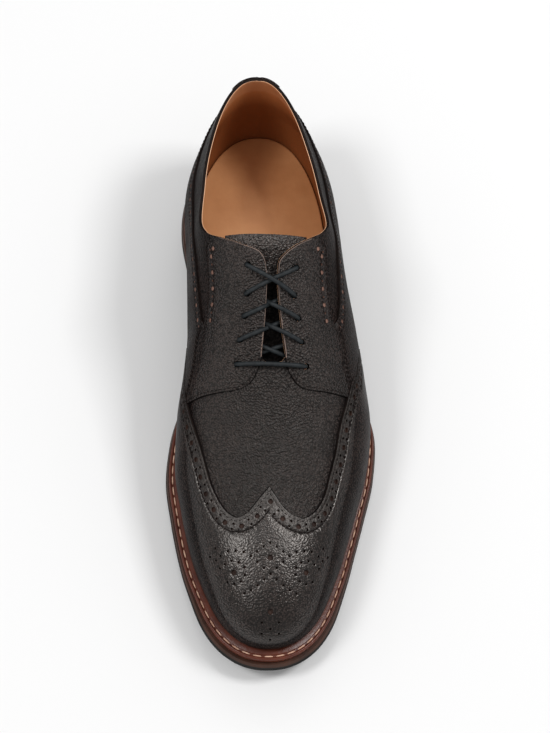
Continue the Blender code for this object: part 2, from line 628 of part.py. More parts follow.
def build_tongue(parts):
    """The tongue lies under the facings, a plate bent over the instep."""
    depth = TONGUE_DEPTH
    along = np.linspace(TONGUE_TOP, TONGUE_ROOT, 10)
    across = np.linspace(-1, 1, 9)
    grid = []
    for station in along:
        ridge = section("ridge", station)
        half = TONGUE_HALF * min(1, 0.86 + 6 * (station - TONGUE_TOP))
        grid.append([at(station, TONGUE_SHIFT + half * u, ridge * 0.94) for u in across])
    grid = onto_last(np.array(grid))
    normal = outward(grid)
    grid[:, :, 1] += LENGTH * 0.006 * (1 - across[None, :] ** 2) * (along[:, None] == TONGUE_TOP)
    outer, inner = grid - normal * depth, grid - normal * (depth + TONGUE_THICK)
    rows, columns = grid.shape[:2]
    size = rows * columns
    faces = []
    for j in range(rows - 1):
        for i in range(columns - 1):
            a = j * columns + i
            faces.append((a, a + 1, a + 1 + columns, a + columns))
            faces.append((size + a, size + a + columns, size + a + 1 + columns, size + a + 1))
    rim = ([j * columns for j in range(rows)] + [(rows - 1) * columns + i for i in range(1, columns)]
           + [j * columns + columns - 1 for j in range(rows - 2, -1, -1)] + list(range(columns - 2, 0, -1)))
    for k, a in enumerate(rim):
        b = rim[(k + 1) % len(rim)]
        faces.append((a, b, size + b, size + a))
    points = [*outer.reshape(-1, 3), *inner.reshape(-1, 3)]
    new_object("tongue", mesh_of(points, faces, "tongue"), parts, BLACK_BROWN, 0.5)


def lace_point(station, across, height):
    """A point of a lace's centre line, at a height over the outer face of the facings."""
    guide = at(station, across, section("ridge", station) * 0.97)[None, :]
    place = onto_last(guide)
    return (place + outward(place) * height)[0]


def lace_run(name, start, end, base, lift, scratch):
    """A lace between two places, rising by lift half way."""
    curve = bpy.data.curves.new(name, "CURVE")
    curve.dimensions = "3D"
    curve.bevel_depth = LACE / 2
    curve.bevel_resolution = 1
    curve.use_fill_caps = True
    line = curve.splines.new("POLY")
    shares = np.linspace(0, 1, 6)
    line.points.add(len(shares) - 1)
    for point, u in zip(line.points, shares):
        place = lace_point(start[0] + (end[0] - start[0]) * u, start[1] + (end[1] - start[1]) * u,
                           base + lift * math.sin(math.pi * u))
        point.co = (*place, 1)
    run = bpy.data.objects.new(name, curve)
    scratch.objects.link(run)
    bpy.context.view_layer.update()
    mesh = bpy.data.meshes.new_from_object(run.evaluated_get(bpy.context.evaluated_depsgraph_get()))
    build = bmesh.new()
    build.from_mesh(mesh)
    bmesh.ops.remove_doubles(build, verts=build.verts, dist=1e-6)
    bmesh.ops.recalc_face_normals(build, faces=build.faces)
    build.to_mesh(mesh)
    build.free()
    mesh.name = name
    bpy.data.objects.remove(run)
    return mesh


def build_laces(parts, cutters):
    """A straight bar at the lowest eyelets and a crossing above each pair but the top one."""
    colour = (0.022, 0.027, 0.030)
    on_top = LACE / 2 + GAP
    low = EYELETS[-1]
    bar = lace_run("lace_bar", (low[0], low[1]), (low[0], low[2]), on_top, LACE * 0.2, cutters)
    new_object("lace_bar", bar, parts, colour, 0.6)
    for k, (upper, lower) in enumerate(zip(EYELETS, EYELETS[1:]), start=1):
        first, last = CROSSINGS[k - 1]
        base = -CROSS_DEPTH if k == 4 else on_top
        runs = []
        for side in (1, 2):
            ends = []
            for share in (first, last):
                ends.append((lower[0] + (upper[0] - lower[0]) * share,
                             lower[side] + (upper[3 - side] - lower[side]) * share))
            lift = 0.0 if k == 4 else LACE * (0.5 if side == 1 else 0.15)
            runs.append(lace_run(f"lace_cross_{k}_{side}", *ends, base, lift, cutters))
        cross = new_object(f"lace_cross_{k}", runs[0], parts, colour, 0.6)
        other = bpy.data.objects.new(f"lace_under_{k}", runs[1])
        other.hide_render = True
        other.display_type = "WIRE"
        cutters.objects.link(other)
        cut(cross, other, "UNION")


def main():
    for item in list(bpy.data.objects):
        bpy.data.objects.remove(item, do_unlink=True)
    scene = bpy.context.scene
    parts = bpy.data.collections.new("brogue_shoe")
    cutters = bpy.data.collections.new("cutters")
    for collection in (parts, cutters):
        scene.collection.children.link(collection)
    build_sole(parts)
    build_insole(parts)
    build_leather(parts, cutters)
    build_tongue(parts)
    build_laces(parts, cutters)
    centre = Matrix.Translation((-sole_middle(), 0, 0))
    for piece in (*parts.objects, *cutters.objects):
        piece.data.transform(centre)


main()
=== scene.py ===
"""Brogue shoe, left foot: the looks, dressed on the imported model.

The leather is cut as panels on the surface of the last. All panels share one triangulation, so
their edges, holes and stitches meet. Toe toward -Y, outer side toward +X, floor at Z = 0, metres.
"""
import math

import bpy
import numpy as np
from mathutils import Matrix, Vector
from mathutils.geometry import delaunay_2d_cdt
from mathutils.kdtree import KDTree


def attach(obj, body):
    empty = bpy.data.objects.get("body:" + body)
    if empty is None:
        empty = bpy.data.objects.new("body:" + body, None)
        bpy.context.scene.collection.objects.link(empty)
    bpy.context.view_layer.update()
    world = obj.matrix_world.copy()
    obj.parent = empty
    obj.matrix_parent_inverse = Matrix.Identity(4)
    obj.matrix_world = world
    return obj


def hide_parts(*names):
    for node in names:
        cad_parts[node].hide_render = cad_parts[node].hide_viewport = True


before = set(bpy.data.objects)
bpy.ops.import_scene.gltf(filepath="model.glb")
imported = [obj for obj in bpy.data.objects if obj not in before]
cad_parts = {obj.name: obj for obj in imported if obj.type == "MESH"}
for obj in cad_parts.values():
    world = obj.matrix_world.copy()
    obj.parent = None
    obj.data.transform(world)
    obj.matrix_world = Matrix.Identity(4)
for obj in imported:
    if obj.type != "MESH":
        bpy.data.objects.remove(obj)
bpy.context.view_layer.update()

# Overall sizes
LENGTH = 0.302
BALL = 0.108
INSTEP = 0.125
COLLAR = 0.0955
SEAT = 0.032
TOE_SPRING = 0.009
WELT_THICK = 0.0045
SOLE_THICK = 0.0087
WELT_REACH = 0.0062
EDGE_BULGE = 0.0016
HEEL_LENGTH = 0.069
HEEL_CAP_THICK = 0.006
HEEL_HOLLOW = 0.004
HEEL_TAPER = 0.0012
TREAD_BACK = 0.61
TREAD_FRONT = 0.70
INSOLE_THICK = 0.0032
INSOLE_GAP = 0.0004
STRAP_WIDTH = 0.026
STRAP_DROP = 0.024
STRAP_SHIFT = 0.0022    # toward the inner side of the heel's seam
TONGUE_THICK = 0.0024
TONGUE_DEPTH = 0.0044
LACE = 0.0023
GAP = 0.0003

# The last
HEEL_TIP = 0.0015
TOE_TIP = 0.0058
HEEL_ROUND = 0.058
TOE_ROUND = 0.060
HEEL_LEAN = 0.006
HEEL_UNDERCUT = 0.003
TOE_UNDERCUT = 0.002
SIDE_POWER = 2.2
END_POWER = 2.1
SECTION_NAMES = ("station", "medial", "lateral", "ridge", "wide", "offset", "cone", "power",
                 "tuck_medial", "tuck_lateral")
SECTIONS = (
    (0.00, 0.338, 0.326, 1.000, 0.24, -0.050, 0.54, 6.0, 0.06, 0.06),
    (0.12, 0.364, 0.342, 1.000, 0.24, -0.050, 0.53, 6.0, 0.06, 0.06),
    (0.22, 0.386, 0.376, 0.995, 0.22, -0.040, 0.44, 6.0, 0.07, 0.06),
    (0.32, 0.376, 0.408, 0.950, 0.20, -0.035, 0.20, 4.0, 0.15, 0.08),
    (0.42, 0.374, 0.462, 0.840, 0.17, -0.040, 0.18, 3.0, 0.20, 0.11),
    (0.50, 0.392, 0.500, 0.735, 0.14, -0.045, 0.10, 2.6, 0.16, 0.10),
    (0.58, 0.418, 0.524, 0.625, 0.12, -0.050, 0.00, 2.4, 0.09, 0.07),
    (0.66, 0.430, 0.498, 0.545, 0.12, -0.045, 0.00, 2.3, 0.06, 0.06),
    (0.74, 0.402, 0.436, 0.490, 0.14, -0.035, 0.00, 2.3, 0.06, 0.06),
    (0.82, 0.362, 0.372, 0.460, 0.16, -0.020, 0.00, 2.3, 0.06, 0.06),
    (0.90, 0.333, 0.338, 0.440, 0.18, -0.012, 0.00, 2.3, 0.06, 0.06),
    (1.00, 0.331, 0.334, 0.420, 0.20, -0.010, 0.00, 2.3, 0.06, 0.06),
)
SECTION = dict(zip(SECTION_NAMES, np.array(SECTIONS).T))
REACH = np.array(((0.00, 0.47), (0.20, 0.36), (0.28, 0.26), (0.42, 0.32), (0.52, 0.68), (0.60, 0.97),
                  (1.00, 1.00)))
RAY = 0.15              # longest way from inside the last to its surface
RAY_HALVINGS = 26
LINE_STEP = 0.001       # between the points of an edge or a seam

# Opening: station, share of BALL, share of INSTEP, share of the way round the foot of the upper
OPENING_MEDIAL = (
    (0.5465, 0.020, 0.662, 1.000), (0.5440, -0.020, 0.668, 0.900), (0.5330, -0.035, 0.690, 0.770),
    (0.477, -0.019, 0.766, 0.670), (0.427, -0.012, 0.832, 0.590), (0.401, -0.019, 0.865, 0.535),
    (0.385, -0.044, 0.883, 0.498), (0.371, -0.133, 0.885, 0.453), (0.352, -0.225, 0.835, 0.421),
    (0.326, -0.300, 0.765, 0.380), (0.290, -0.328, 0.718, 0.336), (0.215, -0.297, 0.700, 0.246),
    (0.136, -0.243, 0.722, 0.170), (0.066, -0.180, 0.752, 0.098), (0.026, -0.090, 0.764, 0.036),
    (0.0155, -0.022, 0.765, 0.000))
OPENING_LATERAL = (
    (0.5465, 0.020, 0.662, 1.000), (0.5440, 0.060, 0.664, 0.900), (0.5330, 0.078, 0.676, 0.770),
    (0.477, 0.053, 0.760, 0.670), (0.427, 0.040, 0.815, 0.590), (0.401, 0.044, 0.855, 0.535),
    (0.385, 0.076, 0.868, 0.498), (0.371, 0.124, 0.866, 0.453), (0.352, 0.194, 0.828, 0.421),
    (0.326, 0.262, 0.762, 0.380), (0.290, 0.297, 0.705, 0.336), (0.215, 0.270, 0.672, 0.246),
    (0.136, 0.226, 0.700, 0.170), (0.066, 0.150, 0.745, 0.098), (0.026, 0.044, 0.764, 0.036),
    (0.0155, -0.022, 0.765, 0.000))
COLUMNS = (5, 6, 3, 3, 2, 2, 2, 2, 2, 2, 3, 3, 3, 2, 2)
KNOTS = np.concatenate([[0], np.cumsum(COLUMNS)]).astype(float)
HALF_RING = KNOTS[-1]

# Panel edges, as in the solids
WING = (
    (0.548, -0.390), (0.573, -0.386), (0.600, -0.373), (0.632, -0.347),
    (0.660, -0.323), (0.692, -0.299), (0.728, -0.270), (0.764, -0.222), (0.782, -0.175), (0.785, -0.140),
    (0.776, -0.095), (0.758, -0.052), (0.7365, 0.000), (0.748, 0.022), (0.766, 0.056), (0.779, 0.096),
    (0.785, 0.140), (0.784, 0.172), (0.770, 0.221), (0.744, 0.263), (0.706, 0.294), (0.665, 0.325),
    (0.620, 0.350), (0.569, 0.392), (0.538, 0.414))
WING_PEAK = 12
TAIL_MEDIAL = ((0.540, 0.424), (0.500, 0.390), (0.464, 0.330), (0.445, 0.270), (0.436, 0.200))
TAIL_LATERAL = ((0.530, 0.442), (0.503, 0.415), (0.477, 0.364), (0.457, 0.310), (0.444, 0.256),
                (0.437, 0.200))
FACING_MEDIAL = ((0.531, -0.030), (0.543, -0.041), (0.556, -0.056), (0.569, -0.076),
                 (0.580, -0.113), (0.584, -0.160), (0.5845, -0.210), (0.583, -0.300), (0.5815, -0.402))
FACING_LATERAL = ((0.531, 0.074), (0.543, 0.083), (0.556, 0.096), (0.568, 0.119),
                  (0.577, 0.150), (0.580, 0.190), (0.5785, 0.270), (0.576, 0.370), (0.575, 0.412))
ARM_FRONT = ((0.3465, 0.838), (0.349, 0.770), (0.375, 0.744), (0.404, 0.711), (0.431, 0.678), (0.455, 0.648),
             (0.468, 0.625))
SEAM = ((0.468, 0.625), (0.487, 0.570), (0.530, 0.530), (0.566, 0.472), (0.590, 0.410))
ARM_REAR = ((-0.03, 0.630), (0.070, 0.592), (0.120, 0.566), (0.170, 0.552), (0.215, 0.555), (0.250, 0.575),
            (0.281, 0.600), (0.315, 0.630), (0.352, 0.640), (0.385, 0.626), (0.422, 0.606), (0.452, 0.606),
            (0.468, 0.625))
EYELETS = ((0.4030, -0.101, 0.128), (0.4450, -0.106, 0.118), (0.4775, -0.116, 0.137),
           (0.5115, -0.137, 0.154), (0.5465, -0.149, 0.177))
HEEL_SEAM = -0.0023
TONGUE_TOP = 0.358
TONGUE_TOP_SHIFT = -0.012
TONGUE_ROOT = 0.580
TONGUE_HALF = 0.185
TONGUE_SHIFT = 0.012
PAINTED_SHADE_ROW = 26           # rows of the tongue's grid after this one lie under the lace and get painted shade
THROAT_TOP = 0.352      # station where the pale edge along the throat begins

# Holes: radii, and the toe's pattern, inner side first and mirrored. Rows: station, share of BALL, radius
LARGE_HOLE = 0.00130
SMALL_HOLE = 0.00062
EYELET_HOLE = 0.00165
LARGE = 0.001           # radius above which a hole counts as large
PEAK_HOLE = (0.7605, 0.004)
TOE_HOLES = (
    (0.8523, 0.000, 0.00150), (0.9350, 0.000, 0.00140), (0.8722, 0.168, 0.00135),
    (0.8285, 0.000, 0.00065), (0.8342, 0.030, 0.00060), (0.8420, 0.060, 0.00060), (0.8490, 0.0885, 0.00060),
    (0.8586, 0.059, 0.00065), (0.8682, 0.030, 0.00060), (0.8772, 0.000, 0.00065), (0.8860, 0.028, 0.00060),
    (0.8950, 0.0595, 0.00060), (0.9020, 0.0890, 0.00060), (0.9060, 0.1195, 0.00060),
    (0.8380, 0.195, 0.00060), (0.8388, 0.159, 0.00060), (0.8416, 0.122, 0.00065), (0.8430, 0.228, 0.00060),
    (0.8572, 0.208, 0.00060), (0.8538, 0.179, 0.00060), (0.8575, 0.145, 0.00065), (0.8661, 0.119, 0.00065),
    (0.8778, 0.117, 0.00060), (0.8872, 0.136, 0.00060), (0.8900, 0.166, 0.00060), (0.8850, 0.197, 0.00060),
    (0.8290, 0.252, 0.00060), (0.8405, 0.275, 0.00060), (0.8485, 0.248, 0.00060), (0.8620, 0.231, 0.00060),
    (0.9503, 0.039, 0.00060), (0.9595, 0.000, 0.00060), (0.9655, 0.040, 0.00060), (0.9735, 0.000, 0.00060))
WING_STITCH = 0.0017    # distance of the wing's stitches from its edge
EDGE_STRIP = 0.0036     # share of the way down of the pale edge along the throat
BAND_HOLES = 0.0092     # spacing of the large holes in the wing's band
BAND_MIDDLE = 0.0046    # their distance from the wing's edge
BAND_PAIR = 0.0014      # how far the small holes between them lie to either side
BAND_WIDTH = 0.0073
EDGE_HOLES = 0.0083     # spacing of the large holes beside the other edges
NET_ROWS = 78           # rows of the net between the opening and the foot
HOLE_INSET = {"arm_": 0.0052, "rear_": 0.0042}

# Camera: the photo's place and angle, turned to the shoe
CAMERA_AT = (-0.0570, -0.4187, 1.0147)
CAMERA_ELEVATION = 66.6
FOCAL = 2035.0          # pixels of a picture 733 high
PICTURE = (550, 733)
PICTURE_SHIFT = 120     # pixels from the picture's middle to the shoe


def hermite(x, xs, ys):
    """Smooth monotone curve through (xs, ys), read at x."""
    x = np.clip(np.asarray(x, float), xs[0], xs[-1])
    step = np.diff(xs)
    rise = np.diff(ys) / step
    slope = np.zeros(len(ys))
    slope[0], slope[-1] = rise[0], rise[-1]
    for k in range(1, len(ys) - 1):
        if rise[k - 1] * rise[k] > 0:
            a, b = 2 * step[k] + step[k - 1], step[k] + 2 * step[k - 1]
            slope[k] = (a + b) / (a / rise[k - 1] + b / rise[k])
    i = np.clip(np.searchsorted(xs, x, side="right") - 1, 0, len(xs) - 2)
    u = (x - xs[i]) / step[i]
    return ((1 + 2 * u) * (1 - u) ** 2 * ys[i] + u * (1 - u) ** 2 * step[i] * slope[i]
            + u * u * (3 - 2 * u) * ys[i + 1] + u * u * (u - 1) * step[i] * slope[i + 1])


STATION_STEPS = np.linspace(0, 1, 1201)
SECTION_READ = {name: hermite(STATION_STEPS, SECTION["station"], SECTION[name]) for name in SECTION_NAMES}


def section(name, share):
    return np.interp(share, STATION_STEPS, SECTION_READ[name])


def smooth(u):
    u = np.clip(u, 0, 1)
    return u * u * (3 - 2 * u)


def unit(vectors):
    return vectors / np.linalg.norm(vectors, axis=-1, keepdims=True)


def arc(line):
    """The way along a line to each of its points."""
    return np.concatenate([[0], np.cumsum(np.linalg.norm(np.diff(line, axis=0), axis=-1))])


def away_from(loop, step=1):
    """Unit directions straight out of a closed outline in plan."""
    run = np.roll(loop, -step, axis=0) - np.roll(loop, step, axis=0)
    away = unit(np.stack([run[:, 1], -run[:, 0]], -1))
    return away * np.sign((away * (loop - loop.mean(0))).sum(-1).mean())


def circle(centre, radius, side, up, count):
    """Points of a circle between two directions."""
    angle = (np.arange(count) * 2 * math.pi / count)[:, None]
    return centre + radius * (np.cos(angle) * side + np.sin(angle) * up)


def tree_of(points):
    """A search tree of points in space or of flat places."""
    tree = KDTree(len(points))
    for k, point in enumerate(points):
        tree.insert((*point, 0)[:3], k)
    tree.balance()
    return tree


def nearest(tree, points):
    """Index and distance of the nearest point in a tree, for each point."""
    found = np.array([tree.find((*p, 0)[:3])[1:] for p in points])
    return found[:, 0].astype(int), found[:, 1]


def distances(tree, points):
    return nearest(tree, points)[1]


def underside(back):
    """Height of the outsole's underside at a distance from the back of the heel."""
    share = np.asarray(back) / LENGTH
    breast = HEEL_LENGTH / LENGTH
    arch = (SEAT - WELT_THICK - SOLE_THICK - GAP) * (1 - smooth((share - breast) / (TREAD_BACK - breast)))
    return arch + TOE_SPRING * np.clip((share - TREAD_FRONT) / (1 - TREAD_FRONT), 0, 1) ** 1.8


def feather(back):
    """Height of the welt's top."""
    return underside(np.clip(back, 0, LENGTH)) + SOLE_THICK + GAP + WELT_THICK


def last_value(points):
    """Below 1 inside the last, above 1 outside it."""
    x, back, z = points[..., 0], LENGTH / 2 - points[..., 1], points[..., 2]
    share = back / LENGTH
    foot = feather(back)
    ridge = section("ridge", share) * INSTEP
    wide = foot + (ridge - foot) * section("wide", share)
    up = np.clip((z - wide) / (ridge - wide), 0, 3)
    down = np.clip((wide - z) / (wide - foot), 0, 3)
    x = x - section("offset", share) * BALL * up
    half = np.where(x < 0, section("medial", share), section("lateral", share)) * BALL
    tuck = np.where(x < 0, section("tuck_medial", share), section("tuck_lateral", share))
    half = half * (1 - tuck * down ** 2) * (1 - section("cone", share) * np.minimum(up, 1.2))
    heel = (HEEL_ROUND - back) / (HEEL_ROUND - HEEL_TIP - HEEL_UNDERCUT * down ** 2 - HEEL_LEAN * up ** 1.5)
    start = LENGTH - TOE_TIP - TOE_ROUND
    toe = (back - start) / (TOE_ROUND - TOE_UNDERCUT * down ** 2)
    half = np.maximum(half, 1e-6)
    return ((np.abs(x) / half) ** SIDE_POWER + up ** section("power", share)
            + np.clip(heel, 0, None) ** END_POWER + np.clip(toe, 0, None) ** END_POWER)


def spine(points):
    """The point inside the last from which each given point is seen."""
    back = np.clip(LENGTH / 2 - points[..., 1], HEEL_ROUND, LENGTH - TOE_TIP - TOE_ROUND)
    foot = feather(back)
    top = section("ridge", back / LENGTH) * INSTEP
    return np.stack([np.zeros_like(back), LENGTH / 2 - back, foot + 0.25 * (top - foot)], -1)


def along_ray(start, ray):
    """The last's surface along rays that start inside it."""
    near = np.zeros(start.shape[:-1])
    far = np.full(start.shape[:-1], RAY)
    for _ in range(RAY_HALVINGS):
        middle = (near + far) / 2
        inside = last_value(start + ray * middle[..., None]) < 1
        near = np.where(inside, middle, near)
        far = np.where(inside, far, middle)
    return start + ray * near[..., None]


def onto_last(points):
    """Moves points onto the last, straight out from its spine."""
    points = np.asarray(points, float)
    start = spine(points)
    return along_ray(start, unit(points - start))


def outward(points):
    """Unit normals of the last."""
    step = 1e-5
    slopes = [last_value(points + step * axis) - last_value(points - step * axis) for axis in np.eye(3)]
    return unit(np.stack(slopes, -1))


def from_above(station, across):
    """Points of the last straight above places of its plan."""
    y, x = LENGTH * (0.5 - np.asarray(station)), np.asarray(across) * BALL
    foot = feather(LENGTH / 2 - y)
    ridge = section("ridge", np.asarray(station)) * INSTEP
    low = foot + (ridge - foot) * section("wide", np.asarray(station))
    return along_ray(np.stack([x, y, low], -1), np.array((0, 0, 1.0)))


def from_side(station, height, side):
    """Points of the last seen straight from one side."""
    y, z = LENGTH * (0.5 - np.asarray(station)), np.asarray(height) * INSTEP
    return along_ray(np.stack([np.zeros_like(y), y, z], -1), np.array((side, 0, 0.0)))


def from_back(x, z):
    """Points of the heel seen from behind."""
    x, z = np.broadcast_arrays(np.asarray(x, float), np.asarray(z, float))
    start = np.stack([x, np.full_like(x, LENGTH / 2 - HEEL_ROUND), z], -1)
    return along_ray(start, np.array((0, 1.0, 0)))


def plan_half(back, side, grow, ends=None):
    """Half width of the last's foot, grown outward in plan; side is -1 inner or 1 outer."""
    medial, tuck = ("medial", "tuck_medial") if side < 0 else ("lateral", "tuck_lateral")
    first, last = ends or plan_ends(grow)
    share = np.clip(back / LENGTH, 0, 1)
    half = section(medial, share) * BALL * (1 - section(tuck, share)) + grow
    start = LENGTH - TOE_TIP - TOE_ROUND
    heel = np.clip((HEEL_ROUND - back) / (HEEL_ROUND - first), 0, 1)
    toe = np.clip((back - start) / (last - start), 0, 1)
    return side * half * np.clip(1 - heel ** END_POWER - toe ** END_POWER, 0, 1) ** (1 / SIDE_POWER)


def plan_ends(grow):
    return HEEL_TIP + HEEL_UNDERCUT - grow, LENGTH - TOE_TIP - TOE_UNDERCUT + grow


def reach(back):
    return WELT_REACH * hermite(back / LENGTH, REACH[:, 0], REACH[:, 1])


def foot_stations(share, side):
    """Distances from the heel for shares of the way round one side of the upper's foot."""
    first, last = plan_ends(0.0)
    back = first + (last - first) * (1 - np.cos(np.linspace(0, math.pi, 2001))) / 2
    half = plan_half(back, side, 0.0)
    way = np.concatenate([[0], np.cumsum(np.hypot(np.diff(half), np.diff(back)))])
    return np.interp(share, way / way[-1], back)


def ring(u):
    """Opening and foot points at places round the shoe, from the toe by the inner side."""
    u = np.asarray(u, float) % (2 * HALF_RING)
    inner = u <= HALF_RING
    along = np.where(inner, u, 2 * HALF_RING - u)
    top, foot = np.empty(u.shape + (3,)), np.empty(u.shape + (3,))
    for side, table, mask in ((-1, OPENING_MEDIAL, inner), (1, OPENING_LATERAL, ~inner)):
        rows = np.array(table)
        read = [hermite(along[mask], KNOTS, rows[:, k]) for k in range(4)]
        top[mask] = np.stack([read[1] * BALL, LENGTH * (0.5 - read[0]), read[2] * INSTEP], -1)
        back = foot_stations(read[3], side)
        foot[mask] = np.stack([plan_half(back, side, 0.0), LENGTH / 2 - back, feather(back)], -1)
    return top, foot


def lasted(u, w):
    """The last's surface at a place round the shoe and a share of the way from opening to foot."""
    top, foot = ring(u)
    bend = foot.copy()
    bend[..., 2] = np.minimum(section("ridge", (LENGTH / 2 - foot[..., 1]) / LENGTH) * INSTEP, top[..., 2])
    w = np.asarray(w, float)[..., None]
    return onto_last(top * (1 - w) ** 2 + bend * 2 * w * (1 - w) + foot * w * w)


# The leather opened flat: a grid over the surface with a flat place for every point, in millimetres
RING_STEPS, ROW_STEPS = 840, 120
GRID_U = np.arange(RING_STEPS) * (2 * HALF_RING / RING_STEPS)
GRID_W = np.linspace(0, 1, ROW_STEPS + 1)
GRID_P = lasted(*np.meshgrid(GRID_U, GRID_W, indexing="ij"))
SPREAD = 70             # steps of the ring over which the directions outward are evened


def make_flat():
    run = np.linalg.norm(np.diff(GRID_P, axis=1), axis=-1)
    run = np.concatenate([np.zeros((RING_STEPS, 1)), np.cumsum(run, axis=1)], axis=1)
    away = away_from(GRID_P[:, -1, :2], 4)
    shift = np.arange(-3 * SPREAD, 3 * SPREAD + 1)
    away = unit(sum(math.exp(-s * s / (2 * SPREAD * SPREAD)) * np.roll(away, s, axis=0) for s in shift))
    return 1000 * (GRID_P[:, :1, :2] + run[..., None] * away[:, None, :]), 1000 * away


GRID_E, AWAY = make_flat()
TREE_P, TREE_E = tree_of(GRID_P.reshape(-1, 3)), tree_of(GRID_E.reshape(-1, 2))


def flat(u, w):
    """Flat places of points given round and down the shoe."""
    a = (np.asarray(u) / (2 * HALF_RING) * RING_STEPS) % RING_STEPS
    b = np.clip(np.asarray(w), 0, 1) * ROW_STEPS
    i, j = np.floor(a).astype(int), np.minimum(np.floor(b).astype(int), ROW_STEPS - 1)
    s, t = (a - i)[:, None], (b - j)[:, None]
    i, k = i % RING_STEPS, (i + 1) % RING_STEPS
    return ((GRID_E[i, j] * (1 - s) + GRID_E[k, j] * s) * (1 - t)
            + (GRID_E[i, j + 1] * (1 - s) + GRID_E[k, j + 1] * s) * t)


def refine(points, index, grid):
    """Places round and down the shoe of points near known grid points."""
    i, j = index // (ROW_STEPS + 1), index % (ROW_STEPS + 1)
    low, high = np.maximum(j - 1, 0), np.minimum(j + 1, ROW_STEPS)
    along = (grid[(i + 1) % RING_STEPS, j] - grid[i - 1, j]) / 2
    across = (grid[i, high] - grid[i, low]) / (high - low)[:, None]
    off = points - grid[i, j]
    aa, ab, bb = (along * along).sum(-1), (along * across).sum(-1), (across * across).sum(-1)
    pa, pb = (off * along).sum(-1), (off * across).sum(-1)
    bottom = np.maximum(aa * bb - ab * ab, 1e-12 * aa * bb)
    du, dw = (pa * bb - pb * ab) / bottom, (pb * aa - pa * ab) / bottom
    u = (i + np.clip(du, -1.5, 1.5)) * (2 * HALF_RING / RING_STEPS)
    w = np.clip((j + np.clip(dw, -1.5, 1.5)) / ROW_STEPS, 0, 1)
    return u % (2 * HALF_RING), w


def locate(points):
    """Places round and down the shoe of points on the last."""
    return refine(points, nearest(TREE_P, points)[0], GRID_P)


def locate_flat(points):
    return refine(points, nearest(TREE_E, points)[0], GRID_E)


def to_flat(line):
    return flat(*locate(line))


# Curves on the last


def even(points, step, closed=False):
    """The same line with its points at even steps."""
    points = np.asarray(points, float)
    if closed:
        points = np.concatenate([points, points[:1]])
    way = arc(points)
    steps = np.linspace(0, way[-1], max(2, int(round(way[-1] / step)) + 1))
    result = read_line(points, way, steps)
    return result[:-1] if closed else result


def read_line(points, way, steps):
    """Places on a line at given ways along it."""
    return np.stack([np.interp(steps, way, points[:, k]) for k in range(points.shape[1])], -1)


def stretches(points, count):
    """Each stretch of a line as its four nearest points, with its own steps from 0 to 1."""
    p = np.asarray(points, float)
    p = np.concatenate([[2 * p[0] - p[1]], p, [2 * p[-1] - p[-2]]])
    for k in range(1, len(p) - 2):
        yield *p[k - 1:k + 3], np.linspace(0, 1, count, endpoint=k == len(p) - 3)[:, None]


def spline(points):
    """A rounded line through points, laid on the last."""
    fine = [0.5 * (2 * b + (c - a) * t + (2 * a - 5 * b + 4 * c - d) * t ** 2
                   + (3 * b - a - 3 * c + d) * t ** 3) for a, b, c, d, t in stretches(points, 12)]
    return onto_last(even(onto_last(np.concatenate(fine)), LINE_STEP))


def beside(line, distance):
    """A line beside another on the last; a positive distance is to its left, seen from outside."""
    left = np.cross(outward(line), unit(np.gradient(line, axis=0)))
    return onto_last(line + left * distance)


def level_line(places, height):
    """The last's line at a height that depends on the station, over places round the shoe."""
    points = []
    for u in places:
        column = GRID_P[int(round(u / (2 * HALF_RING) * RING_STEPS)) % RING_STEPS]
        want = height((LENGTH / 2 - column[:, 1]) / LENGTH) * INSTEP
        over = column[:, 2] - want
        k = int(np.argmax(over < 0))
        if k == 0:
            points.append(column[0])
            continue
        t = over[k - 1] / (over[k - 1] - over[k])
        points.append(column[k - 1] * (1 - t) + column[k] * t)
    return np.array(points)


def foot_end(line):
    """Ends a line exactly on the foot of the upper."""
    u, _ = locate(line[-1:])
    _, foot = ring(u)
    keep = line[np.linalg.norm(line - foot, axis=-1) > 0.0012]
    return np.concatenate([keep, foot])


def soften(line, rounds):
    line = line.copy()
    for _ in range(rounds):
        line[1:-1] = (line[:-2] + 2 * line[1:-1] + line[2:]) / 4
    return line


def make_lines():
    """Every edge and seam, as lines on the last."""
    top = from_above(*np.array(WING).T)
    tails = [from_side(*np.array(tail).T, side) for tail, side in ((TAIL_MEDIAL, -1), (TAIL_LATERAL, 1))]
    inner = spline(np.concatenate([tails[0][::-1], top[:WING_PEAK + 1]]))
    outer = spline(np.concatenate([top[WING_PEAK:], tails[1]]))
    lines = {"wing_inner": foot_end(inner[::-1])[::-1], "wing_outer": foot_end(outer)}
    rows = np.array(ARM_REAR)
    for word, side, front in (("medial", -1, FACING_MEDIAL), ("lateral", 1, FACING_LATERAL)):
        lines["front_" + word] = spline(from_above(*np.array(front).T))
        for name, places in (("arm_", ARM_FRONT), ("seam_", SEAM)):
            lines[name + word] = spline(from_side(*np.array(places).T, side))
        tip, _ = locate(lines["arm_" + word][-1:])
        rear = level_line(np.linspace(HALF_RING, tip[0], 150),
                          lambda share: np.interp(share, rows[:, 0], rows[:, 1]))
        rear[-1] = lines["arm_" + word][-1]
        lines["rear_" + word] = onto_last(even(soften(rear, 6), LINE_STEP))
    low, high, half = COLLAR - STRAP_DROP, COLLAR + 0.002, STRAP_WIDTH / 2
    lines["heel"] = foot_end(from_back(HEEL_SEAM, np.linspace(low, SEAT, 60)))
    left, right = HEEL_SEAM - STRAP_SHIFT - half, HEEL_SEAM - STRAP_SHIFT + half
    lines["strap"] = np.concatenate([from_back(left, np.linspace(high, low, 30)),
                                     from_back(np.linspace(left, right, 30)[1:-1], low),
                                     from_back(right, np.linspace(low, high, 30))])
    return lines


LINES = make_lines()
WING_LINE = np.concatenate([LINES["wing_inner"][:-1], LINES["wing_outer"]])
WING_TREE = tree_of(WING_LINE)


